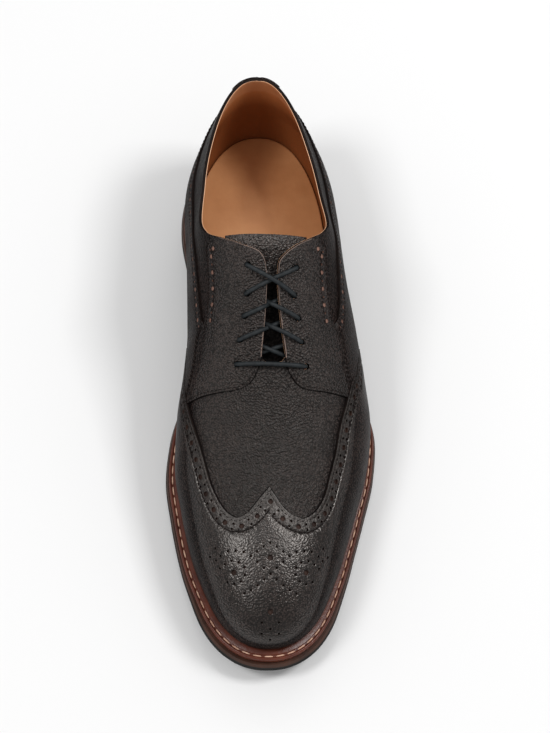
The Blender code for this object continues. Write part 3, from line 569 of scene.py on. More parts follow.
def join_band():
    """The lower edge of the wing's band, pointed under the peak."""
    inner = beside(LINES["wing_inner"], -BAND_WIDTH)
    outer = beside(LINES["wing_outer"], -BAND_WIDTH)
    middle = LINES["wing_inner"][-1, 0]
    free = 30           # points next to the peak that may cross the middle
    return (inner[(inner[:, 0] < middle) | (np.arange(len(inner)) < len(inner) - free)],
            outer[(outer[:, 0] > middle) | (np.arange(len(outer)) > free)])


BAND_INNER, BAND_OUTER = join_band()
BAND_TREE = tree_of(np.concatenate([BAND_INNER, BAND_OUTER]))


def make_holes():
    """Centres, radii and kinds of the perforations and the eyelets."""
    holes = []

    def punch(station, across, radius, kind):
        holes.append((from_above(np.array([station]), np.array([across]))[0], radius, kind))

    for station, across, radius in TOE_HOLES:
        for side in ((1,) if across == 0 else (-1, 1)):
            punch(station, side * across, radius, "brogue")
    peak = LINES["wing_outer"][0, 0]
    punch(*PEAK_HOLE, LARGE_HOLE, "brogue")
    for line, back in ((LINES["wing_inner"][::-1], 1), (LINES["wing_outer"], -1)):
        rows = []
        for shift in (-BAND_PAIR, 0, BAND_PAIR):
            row = beside(line, back * (BAND_MIDDLE + shift))
            rows.append(even(row[(row[:, 0] - peak) * back < 0], 0.0002))
        middle = even(rows[1], BAND_HOLES / 2)
        for k in range(1, len(middle) - 1):
            if k % 2 == 0:
                holes.append((middle[k], LARGE_HOLE, "brogue"))
                continue
            for side in (rows[0], rows[2]):
                closest = side[np.argmin(np.linalg.norm(side - middle[k], axis=-1))]
                holes.append((closest, SMALL_HOLE, "brogue"))
    for word, side in (("medial", -1), ("lateral", 1)):
        for name, turn in (("arm_", -side), ("rear_", side)):
            row = even(beside(LINES[name + word], turn * HOLE_INSET[name]), EDGE_HOLES / 2)
            for k in range(1, len(row) - 1):
                holes.append((row[k], LARGE_HOLE * 0.8 if k % 2 else SMALL_HOLE * 0.85, "edge"))
    for station, inner, outer in EYELETS:
        for across in (inner, outer):
            punch(station, across, EYELET_HOLE, "eyelet")
    kept = []
    for centre, radius, kind in holes:
        if all(np.linalg.norm(centre - other[0]) > radius + other[1] + 0.0006 for other in kept):
            kept.append((centre, radius, kind))
    return kept


HOLES = make_holes()
PUNCHED = [h for h in HOLES if h[2] != "eyelet"]
HOLE_TREE = tree_of([h[0] for h in PUNCHED])


def rim_of(centre, radius, count):
    """A circle round a hole, on the last."""
    normal = outward(centre[None])[0]
    side = np.cross(normal, (0, 1.0, 0))
    side /= np.linalg.norm(side)
    return onto_last(circle(centre, radius, side, np.cross(normal, side), count))


def round_shoe(w, u, step, shift=0.0):
    """Flat places at even steps round the shoe, at one share of the way down."""
    loop = lasted(u, np.full(len(u), w))
    way = arc(np.concatenate([loop, loop[:1]]))
    count = int(way[-1] / step)
    places = np.interp((np.arange(count) + shift) * way[-1] / count, way, np.append(u, 2 * HALF_RING))
    return flat(places, np.full(count, w))


def make_net():
    """One triangulation of the whole upper that keeps every edge and hole."""
    spots, edges = [], []

    def add(points, joined=True, closed=False):
        start = sum(len(s) for s in spots)
        spots.append(points)
        if joined:
            ids = list(range(start, start + len(points)))
            edges.extend(zip(ids[:-1], ids[1:]))
            if closed:
                edges.append((ids[-1], ids[0]))

    for w, step in ((0.0, 0.0010), (EDGE_STRIP, 0.0010), (1.0, 0.0015)):
        add(round_shoe(w, GRID_U, step), closed=True)
    for line in LINES.values():
        add(to_flat(line))
    for centre, radius, _ in HOLES:
        add(to_flat(rim_of(centre, radius, 14 if radius > LARGE else 9)), closed=True)
    groove = tuple(-WING_STITCH + off for off in (-0.0004, 0.0, 0.0004))
    for name, line in LINES.items():
        for distance in (-0.0006, 0.0006, *(groove if "wing" in name else ())):
            add(to_flat(beside(line, distance)), False)
    for line in (BAND_INNER, BAND_OUTER):
        for distance in (-0.0009, -0.0004, 0.0, 0.0004, 0.0009):
            add(to_flat(beside(line, distance)), distance == 0.0)
    for centre, radius, _ in HOLES:
        add(to_flat(rim_of(centre, radius + 0.0005, 12)), False)
    fixed = np.concatenate(spots)
    inside = np.concatenate([round_shoe(j / NET_ROWS, GRID_U[::2], 0.0016, 0.5 * (j % 2))
                             for j in range(1, NET_ROWS)])
    free = distances(tree_of(fixed), inside) > 0.55
    points = np.concatenate([fixed, inside[free]])
    result = delaunay_2d_cdt([Vector(p) for p in points], edges, [], 0, 1e-4, False)
    corners = np.array([tuple(v) for v in result[0]])
    faces = np.array([f for f in result[2] if len(f) == 3])
    u, w = locate_flat(corners)
    place = lasted(u, w)
    on_foot = w > 0.9995
    _, foot = ring(u)
    place[on_foot] = foot[on_foot]
    normal = outward(place)
    normal[on_foot] = unit(normal[on_foot] * (1, 1, 0))
    return corners, faces, place, normal, on_foot


def within(points, outline):
    """Which flat points lie inside a closed outline."""
    inside = np.zeros(len(points), bool)
    x, y = points[:, 0], points[:, 1]
    for a, b in zip(outline, np.roll(outline, -1, axis=0)):
        if a[1] == b[1]:
            continue
        crosses = (a[1] > y) != (b[1] > y)
        inside ^= crosses & (x < (b[0] - a[0]) * (y - a[1]) / (b[1] - a[1]) + a[0])
    return inside


NET_E, NET_F, NET_P, NET_N, NET_FOOT = make_net()
MIDDLE_E = NET_E[NET_F].mean(1)
MIDDLE_P = NET_P[NET_F].mean(1)


def outside_foot(first, last):
    """A way round outside the foot of the upper, between two places round the shoe."""
    u = np.linspace(first, last, 160)
    k = (u / (2 * HALF_RING) * RING_STEPS).astype(int) % RING_STEPS
    return GRID_E[k, -1] + AWAY[k] * 0.01


def sort_faces():
    """The faces of each panel."""
    body = within(MIDDLE_E, GRID_E[:, -1]) & ~within(MIDDLE_E, GRID_E[:, 0])
    index, distance = nearest(tree_of([h[0] for h in HOLES]), MIDDLE_P)
    punched = distance < np.array([h[1] for h in HOLES])[index] * 0.97
    eyelet = punched & np.array([h[2] == "eyelet" for h in HOLES])[index]
    (start,), (end,) = locate(WING_LINE[:1])[0], locate(WING_LINE[-1:])[0]
    beyond = outside_foot(end, 2 * HALF_RING + start)
    wing = within(MIDDLE_E, np.concatenate([to_flat(WING_LINE), beyond]))
    middle = GRID_E[:, 0].mean(0)
    strap = within(MIDDLE_E, np.concatenate([to_flat(LINES["strap"]), [middle]]))
    sets = {"wing_cap": wing}
    slit = np.array([((a[1] + b[1]) / 2 * BALL, LENGTH * (0.5 - a[0]))
                     for a, b in zip(OPENING_MEDIAL[5:1:-1], OPENING_LATERAL[5:1:-1])]) * 1000
    heel_e = to_flat(LINES["heel"])
    heel_u = locate(LINES["heel"][-1:])[0][0]
    for word in ("medial", "lateral"):
        front, arm, seam, rear = (to_flat(LINES[name + word])
                                  for name in ("front_", "arm_", "seam_", "rear_"))
        facing = within(MIDDLE_E, np.concatenate([front, seam[::-1], arm[::-1], [middle], slit]))
        sets["facing_" + word] = facing & ~wing
        outer = outside_foot(locate(LINES["seam_" + word][-1:])[0][0], heel_u)
        counter = within(MIDDLE_E, np.concatenate([rear, seam, outer, heel_e[::-1]]))
        sets["counter_" + word] = counter & ~wing & ~facing & ~strap
    sets["back_strap"] = strap
    sets = {name: chosen & body & ~punched for name, chosen in sets.items()}
    return {**sets, "upper": body & ~eyelet}


def add_mesh(name, points, faces, ids=None, replaced=(), sharp=50):
    """A new smooth-shaded piece of the shoe, moved onto the finished shoe's middle."""
    mesh = bpy.data.meshes.new(name)
    points = np.asarray(points, float) - np.array((SHIFT, 0, 0))
    mesh.from_pydata([tuple(p) for p in points], [], [tuple(int(i) for i in f) for f in faces])
    mesh.shade_smooth()
    mesh.set_sharp_from_angle(angle=math.radians(sharp))
    if ids is not None:
        mesh.polygons.foreach_set("material_index", np.asarray(ids, dtype=np.int32))
    piece = bpy.data.objects.new(name, mesh)
    bpy.context.scene.collection.objects.link(piece)
    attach(piece, "root")
    if replaced:
        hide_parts(*replaced)
    return piece


def tube(rings, around, start=0):
    """Faces between rings of points that follow each other, wound from below up."""
    return [(a, a + around, b + around, b)
            for first in range(start, start + (rings - 1) * around, around)
            for a, b in zip(range(first, first + around), [*range(first + 1, first + around), first])]


def dress(piece, *looks):
    for look in looks:
        piece.data.materials.append(MATS[look])


# Leather panels. Depths under the outermost surface: outer face and inner face of each layer
WING_TOP = 0.00015
SIDE_TOP = 0.00040
STRAP_TOP = 0.00095
OVER_BOTTOM = 0.00145
BASE_TOP = 0.00150
BASE_BOTTOM = 0.00250
LINING_TOP = 0.00255
LINING_BOTTOM = 0.00355
EDGE_DROP = 0.00012
EDGE_INSET = 0.00005

# How far from a line its colour reaches: painted shade along grooves and edges, and the pale edge along the
# throat
GROOVE_SHADE_WIDTH = 0.00034
WING_EDGE_SHADE_WIDTH = 0.00035
OVERLAY_SHADOW_WIDTH = 0.0006
PIPING_WIDTH = 0.00045
HOLE_SPREAD = 1.6       # share of a hole's radius

# A panel's looks, in the order of its face numbers
LOOKS = ("leather", "flesh", "cut", "raw", "band", "seam", "hole_pale", "piping")
FACE, BACK, CUT, RAW, BAND, PAINTED_SHADE_LINE, HOLE_PALE, PIPING = range(len(LOOKS))
WALLS = [HOLE_PALE if kind == "edge" else RAW if radius > LARGE else CUT for _, radius, kind in PUNCHED]
NEAR_SEAM = {word: tree_of(LINES["seam_" + word]) for word in ("medial", "lateral")}
OPENING = tree_of(even(GRID_P[:, 0], 0.0002, True))


def rim_edges(faces):
    """All directed edges of some faces, and those that only one face has."""
    pairs = np.concatenate([faces[:, [0, 1]], faces[:, [1, 2]], faces[:, [2, 0]]])
    _, first, count = np.unique(np.sort(pairs, axis=1), axis=0, return_index=True, return_counts=True)
    return pairs, pairs[first[count == 1]]


def panel(name, chosen, top, bottom, slot, kinds=None, looks=("leather",), replaces=True):
    """A closed sheet of leather between two depths, with its edges a little rounded.

    top and bottom are a depth or a rule that reads it from points of the last. kinds gives a face
    number for every face of the net, and looks takes the place of the first LOOKS.
    """
    used, compact = np.unique(NET_F[chosen], return_inverse=True)
    faces = compact.reshape(-1, 3)
    place, normal, foot = NET_P[used], NET_N[used], NET_FOOT[used]
    pairs, rim = rim_edges(faces)
    on_rim = np.zeros(len(used), bool)
    on_rim[rim.ravel()] = True
    on_rim &= ~foot
    inward = np.zeros_like(place)
    np.add.at(inward, pairs[:, 0], place[pairs[:, 1]] - place[pairs[:, 0]])
    inward -= normal * (inward * normal).sum(-1, keepdims=True)
    inward /= np.maximum(np.linalg.norm(inward, axis=-1, keepdims=True), 1e-9)
    moved = place + np.where(on_rim[:, None], inward * EDGE_INSET, 0)
    shallow, deep = (rule(place) if callable(rule) else np.full(len(used), rule) for rule in (top, bottom))
    shallow = shallow + np.where(on_rim, EDGE_DROP, 0)
    outer, inner = moved - normal * shallow[:, None], moved - normal * deep[:, None]
    for layer in (outer, inner):
        layer[foot, 2] = place[foot, 2] + GAP
    a, b, c = (place[faces[:, k]] for k in range(3))
    flip = (np.cross(b - a, c - a) * normal[faces[:, 0]]).sum(-1) < 0
    faces[flip] = faces[flip][:, ::-1]
    _, rim = rim_edges(faces)
    n = len(used)
    walls = [(b, a, a + n, b + n) for a, b in rim]
    index, distance = nearest(HOLE_TREE, place[rim].mean(1))
    wall_ids = [WALLS[k] if far < PUNCHED[k][1] + 0.0002 else CUT for k, far in zip(index, distance)]
    ids = [*([FACE] * len(faces) if kinds is None else kinds[chosen]), *[BACK] * len(faces), *wall_ids]
    piece = add_mesh(name, np.concatenate([outer, inner]), [*faces, *(faces[:, ::-1] + n), *walls], ids,
                     (slot,) if replaces else ())
    dress(piece, *looks, *LOOKS[len(looks):])


def wing_top(points):
    """The wing's surface, with a groove along the lower edge of its band."""
    off = distances(BAND_TREE, points)
    near = distances(WING_TREE, points) - WING_STITCH
    return WING_TOP + 0.00050 * np.exp(-(off / 0.00050) ** 2) + 0.00022 * np.exp(-(near / 0.00045) ** 2)


def side_top(word):
    def rule(points):
        return SIDE_TOP + 0.0003 * (1 - smooth(distances(NEAR_SEAM[word], points) / 0.004))
    return rule


def base_bottom(points):
    """The leather turned in at the topline makes it thicker there."""
    return BASE_BOTTOM + 0.0005 * (1 - smooth(distances(OPENING, points) / 0.006))


def lining_top(points):
    return base_bottom(points) + LINING_TOP - BASE_BOTTOM


def lining_bottom(points):
    """The lining thins toward the topline, so that its edge rolls over."""
    down = np.clip(distances(OPENING, points) / 0.0045, 0, 1)
    start = LINING_TOP + 0.0007
    return start + (LINING_BOTTOM - start) * np.sqrt(1 - (1 - down) ** 2)


def pale_hole_discs():
    """Pale discs set shallow inside the larger holes beside the arms."""
    points, faces = [], []
    count = 10
    for centre, radius, kind in HOLES:
        if kind != "edge" or radius < LARGE:
            continue
        start = len(points)
        rim = rim_of(centre, radius * 0.97, count)
        normal = outward(rim)
        points += [*(rim - normal * (SIDE_TOP + 0.00038)), *(rim - normal * (SIDE_TOP + 0.0009))]
        faces += [range(start, start + count), range(start + 2 * count - 1, start + count - 1, -1)]
        faces += [(b, a, d, c) for a, d, c, b in tube(2, count, start)]
    dress(add_mesh("pale_hole_disc_mesh", points, faces), "hole_pale")


def make_panels():
    """The leather panels and the lining."""
    sets = sort_faces()
    groove_shade = distances(BAND_TREE, MIDDLE_P) < GROOVE_SHADE_WIDTH
    in_band = within(MIDDLE_E, np.concatenate([to_flat(BAND_INNER), to_flat(BAND_OUTER),
                                               to_flat(WING_LINE)[::-1]]))
    index, distance = nearest(HOLE_TREE, MIDDLE_P)
    through = np.array([0 if far >= PUNCHED[k][1] * HOLE_SPREAD else
                        RAW if PUNCHED[k][2] == "brogue" else HOLE_PALE
                        for k, far in zip(index, distance)])
    edge = distances(WING_TREE, MIDDLE_P)
    fronts = tree_of(np.concatenate([LINES["front_medial"], LINES["front_lateral"]]))
    under = np.minimum(edge, distances(fronts, MIDDLE_P))
    throat = (distances(OPENING, MIDDLE_P) < PIPING_WIDTH) & (MIDDLE_P[:, 1] < LENGTH * (0.5 - THROAT_TOP))
    # Painted shadow: a dark strip on the base just under the wing's edge and the facings' front edges.
    base = np.where(through > 0, through, np.where(under < OVERLAY_SHADOW_WIDTH, PAINTED_SHADE_LINE, FACE))
    facing = np.where(throat, PIPING, FACE)
    # Painted shade: dark lines in the band's groove and along the wing's edge.
    wing = np.where(groove_shade | (edge < WING_EDGE_SHADE_WIDTH), PAINTED_SHADE_LINE, np.where(in_band, BAND, FACE))
    panel("upper_leather", sets["upper"], BASE_TOP, base_bottom, "upper", base)
    panel("wing_leather", sets["wing_cap"], wing_top, OVER_BOTTOM, "wing_cap", wing, ("wing",))
    panel("strap_leather", sets["back_strap"], STRAP_TOP, OVER_BOTTOM, "back_strap")
    for word in ("medial", "lateral"):
        for part, top, kinds in (("facing", SIDE_TOP, facing), ("counter", side_top(word), None)):
            node = f"{part}_{word}"
            panel(f"{part}_leather_{word}", sets[node], top, OVER_BOTTOM, node, kinds)
    # The lining's cut edges take the pale rim colour, a painted highlight along the topline.
    panel("lining", sets["upper"], lining_top, lining_bottom, "upper", looks=("lining", "lining", "rim"),
          replaces=False)
    pale_hole_discs()


# Soles


def sole_rows(count, grow=None, until=None):
    """Rows of (inner x, outer x, distance from the heel) of a sole outline.

    Without grow it is the welt's outline.
    """
    first, last = plan_ends(WELT_REACH if grow is None else grow)
    if grow is None:
        first = plan_ends(reach(0.0))[0]
    u = np.linspace(0, 1, count)
    if until is None:
        back = first + (last - first) * (1 - np.cos(math.pi * u)) / 2
    else:
        back = first + (until - first) * (1 - np.cos(math.pi / 2 * u))
    wide = reach(back) if grow is None else grow
    return *(plan_half(back, side, wide, (first, last)) for side in (-1, 1)), back


def sole_sides(rows):
    """The two sides of a sole outline in plan, from the heel to the toe."""
    inner, outer, back = rows
    return [np.stack([half, LENGTH / 2 - back], -1) for half in (inner, outer)]


def sole_middle():
    inner, outer, _ = sole_rows(400)
    return (inner.min() + outer.max()) / 2


SHIFT = sole_middle()


def plate(node, rows, profile, level, looks, ids=None, hollow=0.0, toe=0.0):
    """A closed plate: its outline offset by a profile of (outward, rise) from the bottom up.

    ids gives a face number for each step of the profile. toe makes its bulge that much larger
    round the toe. hollow is the depth of the curve of a heel's front.
    """
    left, right = sole_sides(rows)
    if hollow:
        u = np.linspace(0, 1, 21)[1:-1, None]
        breast = left[-1] * (1 - u) + right[-1] * u
        breast[:, 1] += hollow * (1 - (2 * u[:, 0] - 1) ** 2)
        loop = np.concatenate([left, breast, right[:0:-1]])
    else:
        loop = np.concatenate([left, right[-2:0:-1]])
    away = away_from(loop)
    base = level(LENGTH / 2 - loop[:, 1])
    size, count = len(loop), len(profile)
    ids = [0] * count if ids is None else ids
    swell = 1 + toe * smooth((0.5 - loop[:, 1:] / LENGTH - 0.80) / 0.17)
    points = [np.column_stack([loop + away * out * (swell if out > 0 else 1), base + rise])
              for out, rise in profile]
    faces = tube(count, size)
    numbers = [number for number in ids[:-1] for _ in range(size)]
    for start, turn, number in ((0, 1, ids[0]), ((count - 1) * size, -1, ids[-1])):
        if hollow:
            covers = [range(start, start + size)]
        else:
            covers = [dict.fromkeys((start + i, start + i + 1, start + size - i - 1,
                                     start + (size - i) % size)) for i in range(len(left) - 1)]
        faces += [list(cover)[::turn] for cover in covers]
        numbers += [number] * len(covers)
    dress(add_mesh(node + "_dressed", np.concatenate(points), faces, numbers, (node,), 40), *looks)


def bevelled(thick, bevel, count=7):
    """A profile with rounded corners between the bottom and the top of a plate."""
    angle = np.linspace(0, math.pi / 2, 4)
    low = [(-bevel + bevel * math.sin(a), bevel - bevel * math.cos(a)) for a in angle]
    high = [(-bevel + bevel * math.cos(a), thick - bevel + bevel * math.sin(a)) for a in angle]
    return low + [(0.0, bevel + (thick - 2 * bevel) * k / count) for k in range(1, count)] + high


# The welt's upper side, with the groove for its stitches: how far outward, and how far below its top
WELT_GROOVE = ((0.0, 0.0007), (-0.00012, 0.0003), (-0.0005, 0.00004), (-0.0008, 0.0), (-0.0011, 0.0001),
               (-0.0014, 0.0006), (-0.0019, 0.00075), (-0.0024, 0.0006), (-0.0027, 0.0001), (-0.0030, 0.0),
               (-0.0070, 0.0))
GROOVE_MIDDLE = 0.0019
# The outsole's side: share of its thickness, and share of EDGE_BULGE outward
SOLE_SIDE = np.array(((0.0, -0.3), (0.22, 0.7), (0.55, 1.0), (1.0, 0.45)))
SOLE_DARK = 0.74        # share of the outsole's side, from the bottom, in the heel rubber's dark colour
HEEL_LAYERS = 3


def make_soles():
    """Welt, outsole, heel stack, heel cap and insole."""
    rows = sole_rows(150)
    profile = [(-0.0060, 0.0), (-0.0002, 0.0), (0.0, 0.0003),
               *((out, WELT_THICK - drop) for out, drop in WELT_GROOVE)]
    plate("welt", rows, profile, lambda back: feather(back) - WELT_THICK, ["welt"])

    fine = np.linspace(0, 1, 15)
    outs = hermite(fine, SOLE_SIDE[:, 0], SOLE_SIDE[:, 1] * EDGE_BULGE)
    profile = [(-0.0012, 0.0), *((out, SOLE_THICK * share) for out, share in zip(outs, fine))]
    profile[1] = (profile[1][0] - 0.0001, 0.0001)
    tones = [1 if rise < SOLE_THICK * SOLE_DARK else 0 for _, rise in profile]
    plate("outsole", rows, profile, underside, ["sole", "cap"], tones, toe=0.9)

    low, high = HEEL_CAP_THICK + GAP, SEAT - WELT_THICK - SOLE_THICK - 2 * GAP
    lean = -HEEL_TAPER * 0.7
    profile = []
    for k in range(HEEL_LAYERS):
        a, b = low + (high - low) * k / HEEL_LAYERS, low + (high - low) * (k + 1) / HEEL_LAYERS
        for share, dip in ((0.0, 0.0003), (0.08, 0.0), (0.92, 0.0), (1.0, 0.0003)):
            z = a + (b - a) * share
            profile.append((lean * (1 - (z - low) / (high - low)) - dip, z))
    heel = sole_rows(60, until=HEEL_LENGTH)
    plate("heel_block", heel, profile, np.zeros_like, ["stack"], hollow=HEEL_HOLLOW)
    profile = [(out - HEEL_TAPER, rise) for out, rise in bevelled(HEEL_CAP_THICK, 0.0005)]
    plate("heel_cap", heel, profile, np.zeros_like, ["cap"], hollow=HEEL_HOLLOW)
    plate("insole", sole_rows(90, -LINING_BOTTOM - INSOLE_GAP), bevelled(INSOLE_THICK, 0.0009),
          lambda back: feather(back) + GAP, ["insole"])


def make_tongue():
    """The tongue, sunk a little where the lace runs over it, with painted shade where it lies deep under the
    lace.
    """
    rows, columns = 90, 60
    along, across = np.linspace(TONGUE_TOP, TONGUE_ROOT, rows), np.linspace(-1, 1, columns)
    grid = []
    for station in along:
        top = 1 - smooth((station - TONGUE_TOP) / 0.05)
        half = TONGUE_HALF + 0.040 * top
        x = (TONGUE_SHIFT + (TONGUE_TOP_SHIFT - TONGUE_SHIFT) * top + half * across) * BALL
        z = np.full_like(x, float(section("ridge", station)) * 0.94 * INSTEP)
        grid.append(np.stack([x, LENGTH * (0.5 - station + 0.009 * top * across ** 2), z], -1))
    grid = onto_last(np.array(grid))
    normal = outward(grid)
    sink = TONGUE_DEPTH + 0.0030 * smooth((along - 0.370) / 0.045)[:, None, None]
    edge = np.ones((rows, columns), bool)
    edge[1:-1, 1:-1] = False
    soft = np.where(edge, 0.0003, 0.0)[..., None]
    outer, inner = grid - normal * (sink + soft), grid - normal * (sink + TONGUE_THICK - soft)
    size = rows * columns
    faces, ids = [], []
    for j in range(rows - 1):
        for a in range(j * columns, (j + 1) * columns - 1):
            faces.append((a, a + columns, a + 1 + columns, a + 1))
            faces.append((size + a, size + a + 1, size + a + 1 + columns, size + a + columns))
            # Painted shade: faces deep under the lace take the near-black tongue colour.
            ids += [3 if j > PAINTED_SHADE_ROW else 0, 1]
    number = np.arange(size).reshape(rows, columns)
    rim = [*number[:, 0], *number[-1, 1:], *number[-2::-1, -1], *number[0, -2:0:-1]]
    faces += [(b, a, size + a, size + b) for a, b in zip(rim, rim[1:] + rim[:1])]
    ids += [2] * len(rim)
    points = np.concatenate([outer.reshape(-1, 3), inner.reshape(-1, 3)])
    piece = add_mesh("tongue_dressed", points, faces, ids, ("tongue",))
    dress(piece, "tongue", "flesh", "cut", "deep")


# Laces


def eyelet(k, side):
    station, inner, outer = EYELETS[k]
    return np.array((station, inner if side < 0 else outer))


def lace_places(stops):
    """Points in space from (station, share of BALL, height over the outermost surface)."""
    stops = np.array(stops)
    guide = np.stack([stops[:, 1] * BALL, LENGTH * (0.5 - stops[:, 0]),
                      section("ridge", stops[:, 0]) * 0.97 * INSTEP], -1)
    place = onto_last(guide)
    return place + outward(place) * stops[:, 2:3]


ON_TOP = LACE / 2 - SIDE_TOP + 0.0001
BENEATH = -(LINING_BOTTOM + LACE / 2 + 0.0001)


def lace_stops(side):
    """One half of the lace, from the middle of the bar up to its hidden end."""

    def hole(k, s, *heights):
        return [(*eyelet(k, s), height) for height in heights]

    def between(a, b, *rows):
        """Stops at shares of the way from one eyelet to another, each with its height."""
        return [(*(a * (1 - share) + b * share), height) for share, height in rows]

    low = eyelet(4, side)
    over = 0.0006 if side > 0 else -0.0006
    stops = between(low, eyelet(4, -side), (0.5, ON_TOP + 0.0007), (0.3, ON_TOP + 0.0004),
                    (0.1, ON_TOP + 0.0001))
    stops += hole(4, side, ON_TOP - 0.0012, BENEATH * 0.5)
    stops += between(low, eyelet(3, -side), (0.05, BENEATH * 0.95), (0.2, BENEATH),
                     (0.40, BENEATH * 0.85 + over), (0.5, BENEATH * 0.78 + 1.6 * over),
                     (0.60, BENEATH * 0.85 + over), (0.8, BENEATH), (0.95, BENEATH * 0.95))
    s = -side
    for k in (3, 2):
        first, second, third = ((ON_TOP + 0.0003, -0.0001, -0.0033) if s > 0 else
                                (ON_TOP - 0.0001, -0.0026, -0.0040))
        stops += hole(k, s, BENEATH * 0.45, ON_TOP - 0.0012)
        stops += between(eyelet(k, s), eyelet(k - 1, -s), (0.08, ON_TOP), (0.2, ON_TOP + 0.0001),
                         (0.34, first), (0.5, second), (0.62, third), (0.74, BENEATH), (0.86, BENEATH),
                         (0.95, BENEATH * 0.95))
        s = -s
    lift = 0.0021 if s > 0 else 0.0
    stops += hole(1, s, BENEATH * 0.45, ON_TOP - 0.0012)
    stops += between(eyelet(1, s), eyelet(0, -s), (0.08, ON_TOP), (0.25, ON_TOP + 0.0002 + lift * 0.2),
                     (0.5, ON_TOP + 0.0001 + lift), (0.75, ON_TOP + 0.0002 + lift * 0.2), (0.92, ON_TOP))
    return stops + hole(0, -s, ON_TOP - 0.0012, BENEATH * 0.45, BENEATH * 1.1)


def curve_through(points, step):
    """A smooth line through points in space, at even steps."""
    fine = []
    for a, b, c, d, t in stretches(points, 16):
        ta, tb, tc = (max(np.linalg.norm(v), 1e-9) ** 0.5 for v in (b - a, c - b, d - c))
        m1 = (c - b) + tb * ((b - a) / ta - (c - a) / (ta + tb))
        m2 = (c - b) + tb * ((d - c) / tc - (d - b) / (tb + tc))
        fine.append(b * (1 - 3 * t ** 2 + 2 * t ** 3) + c * (3 * t ** 2 - 2 * t ** 3)
                    + m1 * (t - 2 * t ** 2 + t ** 3) + m2 * (t ** 3 - t ** 2))
    return even(np.concatenate(fine), step)


def make_lace():
    """One round lace, from its hidden end at one top eyelet down to the bar and up to the other."""
    line = curve_through(lace_places(lace_stops(-1)[:0:-1] + lace_stops(1)), 0.0004)
    around = 16
    run = unit(np.gradient(line, axis=0))
    side = np.cross(run[0], (0, 0, 1.0))
    side /= np.linalg.norm(side)
    points = []
    for place, forward in zip(line, run):
        side = side - forward * (side @ forward)
        side /= np.linalg.norm(side)
        points.append(circle(place, LACE / 2, side, np.cross(forward, side), around))
    faces = [(a, d, c, b) for a, b, c, d in tube(len(line), around)]
    last = (len(line) - 1) * around
    faces += [range(around - 1, -1, -1), range(last, last + around)]
    replaced = ("lace_bar", "lace_cross_1", "lace_cross_2", "lace_cross_3", "lace_cross_4")
    dress(add_mesh("lace", np.concatenate(points), faces, None, replaced), "lace")


# Stitches: spacing, length and radius of the dark thread and of the welt's pale one
STITCH_PITCH, STITCH_LENGTH, STITCH_RADIUS = 0.0024, 0.0017, 0.00021
PALE_PITCH, PALE_SPAN, PALE_LENGTH, PALE_RADIUS = 0.0059, 0.0044, 0.0046, 0.00042
PALE_SINK = 0.00045     # into the groove of the welt
# Rings of a stitch: share of its length, share of its radius, and how far it sinks
STITCH_RINGS = ((-0.5, 0.25, -0.55), (-0.42, 0.75, -0.2), (-0.22, 1.0, 0.0), (0.22, 1.0, 0.0),
                (0.42, 0.75, -0.2), (0.5, 0.25, -0.55))


def chords(line, count, span):
    """The middles and directions of evenly spaced chords of a line."""
    way = arc(line)
    middles = (np.arange(count) + 0.5) * way[-1] / max(count, 1)
    a, b = (read_line(line, way, middles + turn * span / 2) for turn in (-1, 1))
    return (a + b) / 2, unit(b - a)


def stitch_row(line, height):
    """Small rounded stitches along a line, lying on the last at a height over it."""
    line = even(line, 0.0004)
    centre, run = chords(line, int(arc(line)[-1] / STITCH_PITCH), STITCH_LENGTH)
    normal = outward(centre)
    return centre + normal * height, run, normal


def stitch_mesh(name, rows, length, radius, look):
    """All the stitches of some rows as one mesh of small capsules."""
    around = 6
    points, faces = [], []
    for centre, run, normal in rows:
        for c, r, n, s in zip(centre, run, normal, np.cross(normal, run)):
            start = len(points)
            for share, size, sink in STITCH_RINGS:
                for angle in (2 * math.pi * k / around for k in range(around)):
                    points.append(c + r * length * share + n * radius * (size * math.sin(angle) + sink)
                                  + s * radius * size * math.cos(angle))
            faces += tube(len(STITCH_RINGS), around, start)
            end = start + len(STITCH_RINGS) * around
            faces += [range(start, start + around), range(end - 1, end - around - 1, -1)]
    dress(add_mesh(name, points, faces, sharp=60), look)


def welt_line():
    """The middle of the groove in the welt."""
    left, right = sole_sides(sole_rows(400))
    loop = even(np.concatenate([left, right[-2:0:-1]]), 0.001, True)
    loop = loop - away_from(loop) * GROOVE_MIDDLE
    return np.column_stack([loop, feather(LENGTH / 2 - loop[:, 1])])


def make_stitches():
    """Thread in the leather, and the pale stitches round the welt."""
    rows = [stitch_row(beside(line, -WING_STITCH), -WING_TOP - 0.00018)
            for line in (LINES["wing_inner"][2:], LINES["wing_outer"][:-2])]
    rows += [stitch_row(line, -WING_TOP - 0.00030) for line in (BAND_INNER[4:-2], BAND_OUTER[2:-4])]
    for word, side in (("medial", -1), ("lateral", 1)):
        for name, turn, insets in (("arm_", -side, (0.0013, 0.0064)), ("rear_", side, (0.0013, 0.0064)),
                                   ("front_", side, (0.0013,)), ("seam_", side, (0.0013, 0.0027))):
            for inset in insets:
                line = beside(LINES[name + word], turn * inset)[3:-3]
                if name in ("front_", "seam_"):
                    line = line[distances(WING_TREE, line) > 0.002]
                rows.append(stitch_row(line, -SIDE_TOP + 0.00002))
    stitch_mesh("stitches_upper", rows, STITCH_LENGTH, STITCH_RADIUS, "thread")

    line = welt_line()
    line = np.concatenate([line, line[:1]])
    count = int(round(arc(line)[-1] / PALE_PITCH))
    centre, run = chords(line, count, PALE_SPAN)
    row = centre + np.array((0, 0, -PALE_SINK)), run, np.tile((0, 0, 1.0), (count, 1))
    stitch_mesh("stitches_welt", [row], PALE_LENGTH, PALE_RADIUS, "pale_thread")


# Materials


def linear(*rgb):
    """Scene values of a colour given in 0..255 display values."""
    return tuple((c / 255 / 12.92) if c <= 10 else ((c / 255 + 0.055) / 1.055) ** 2.4 for c in rgb)


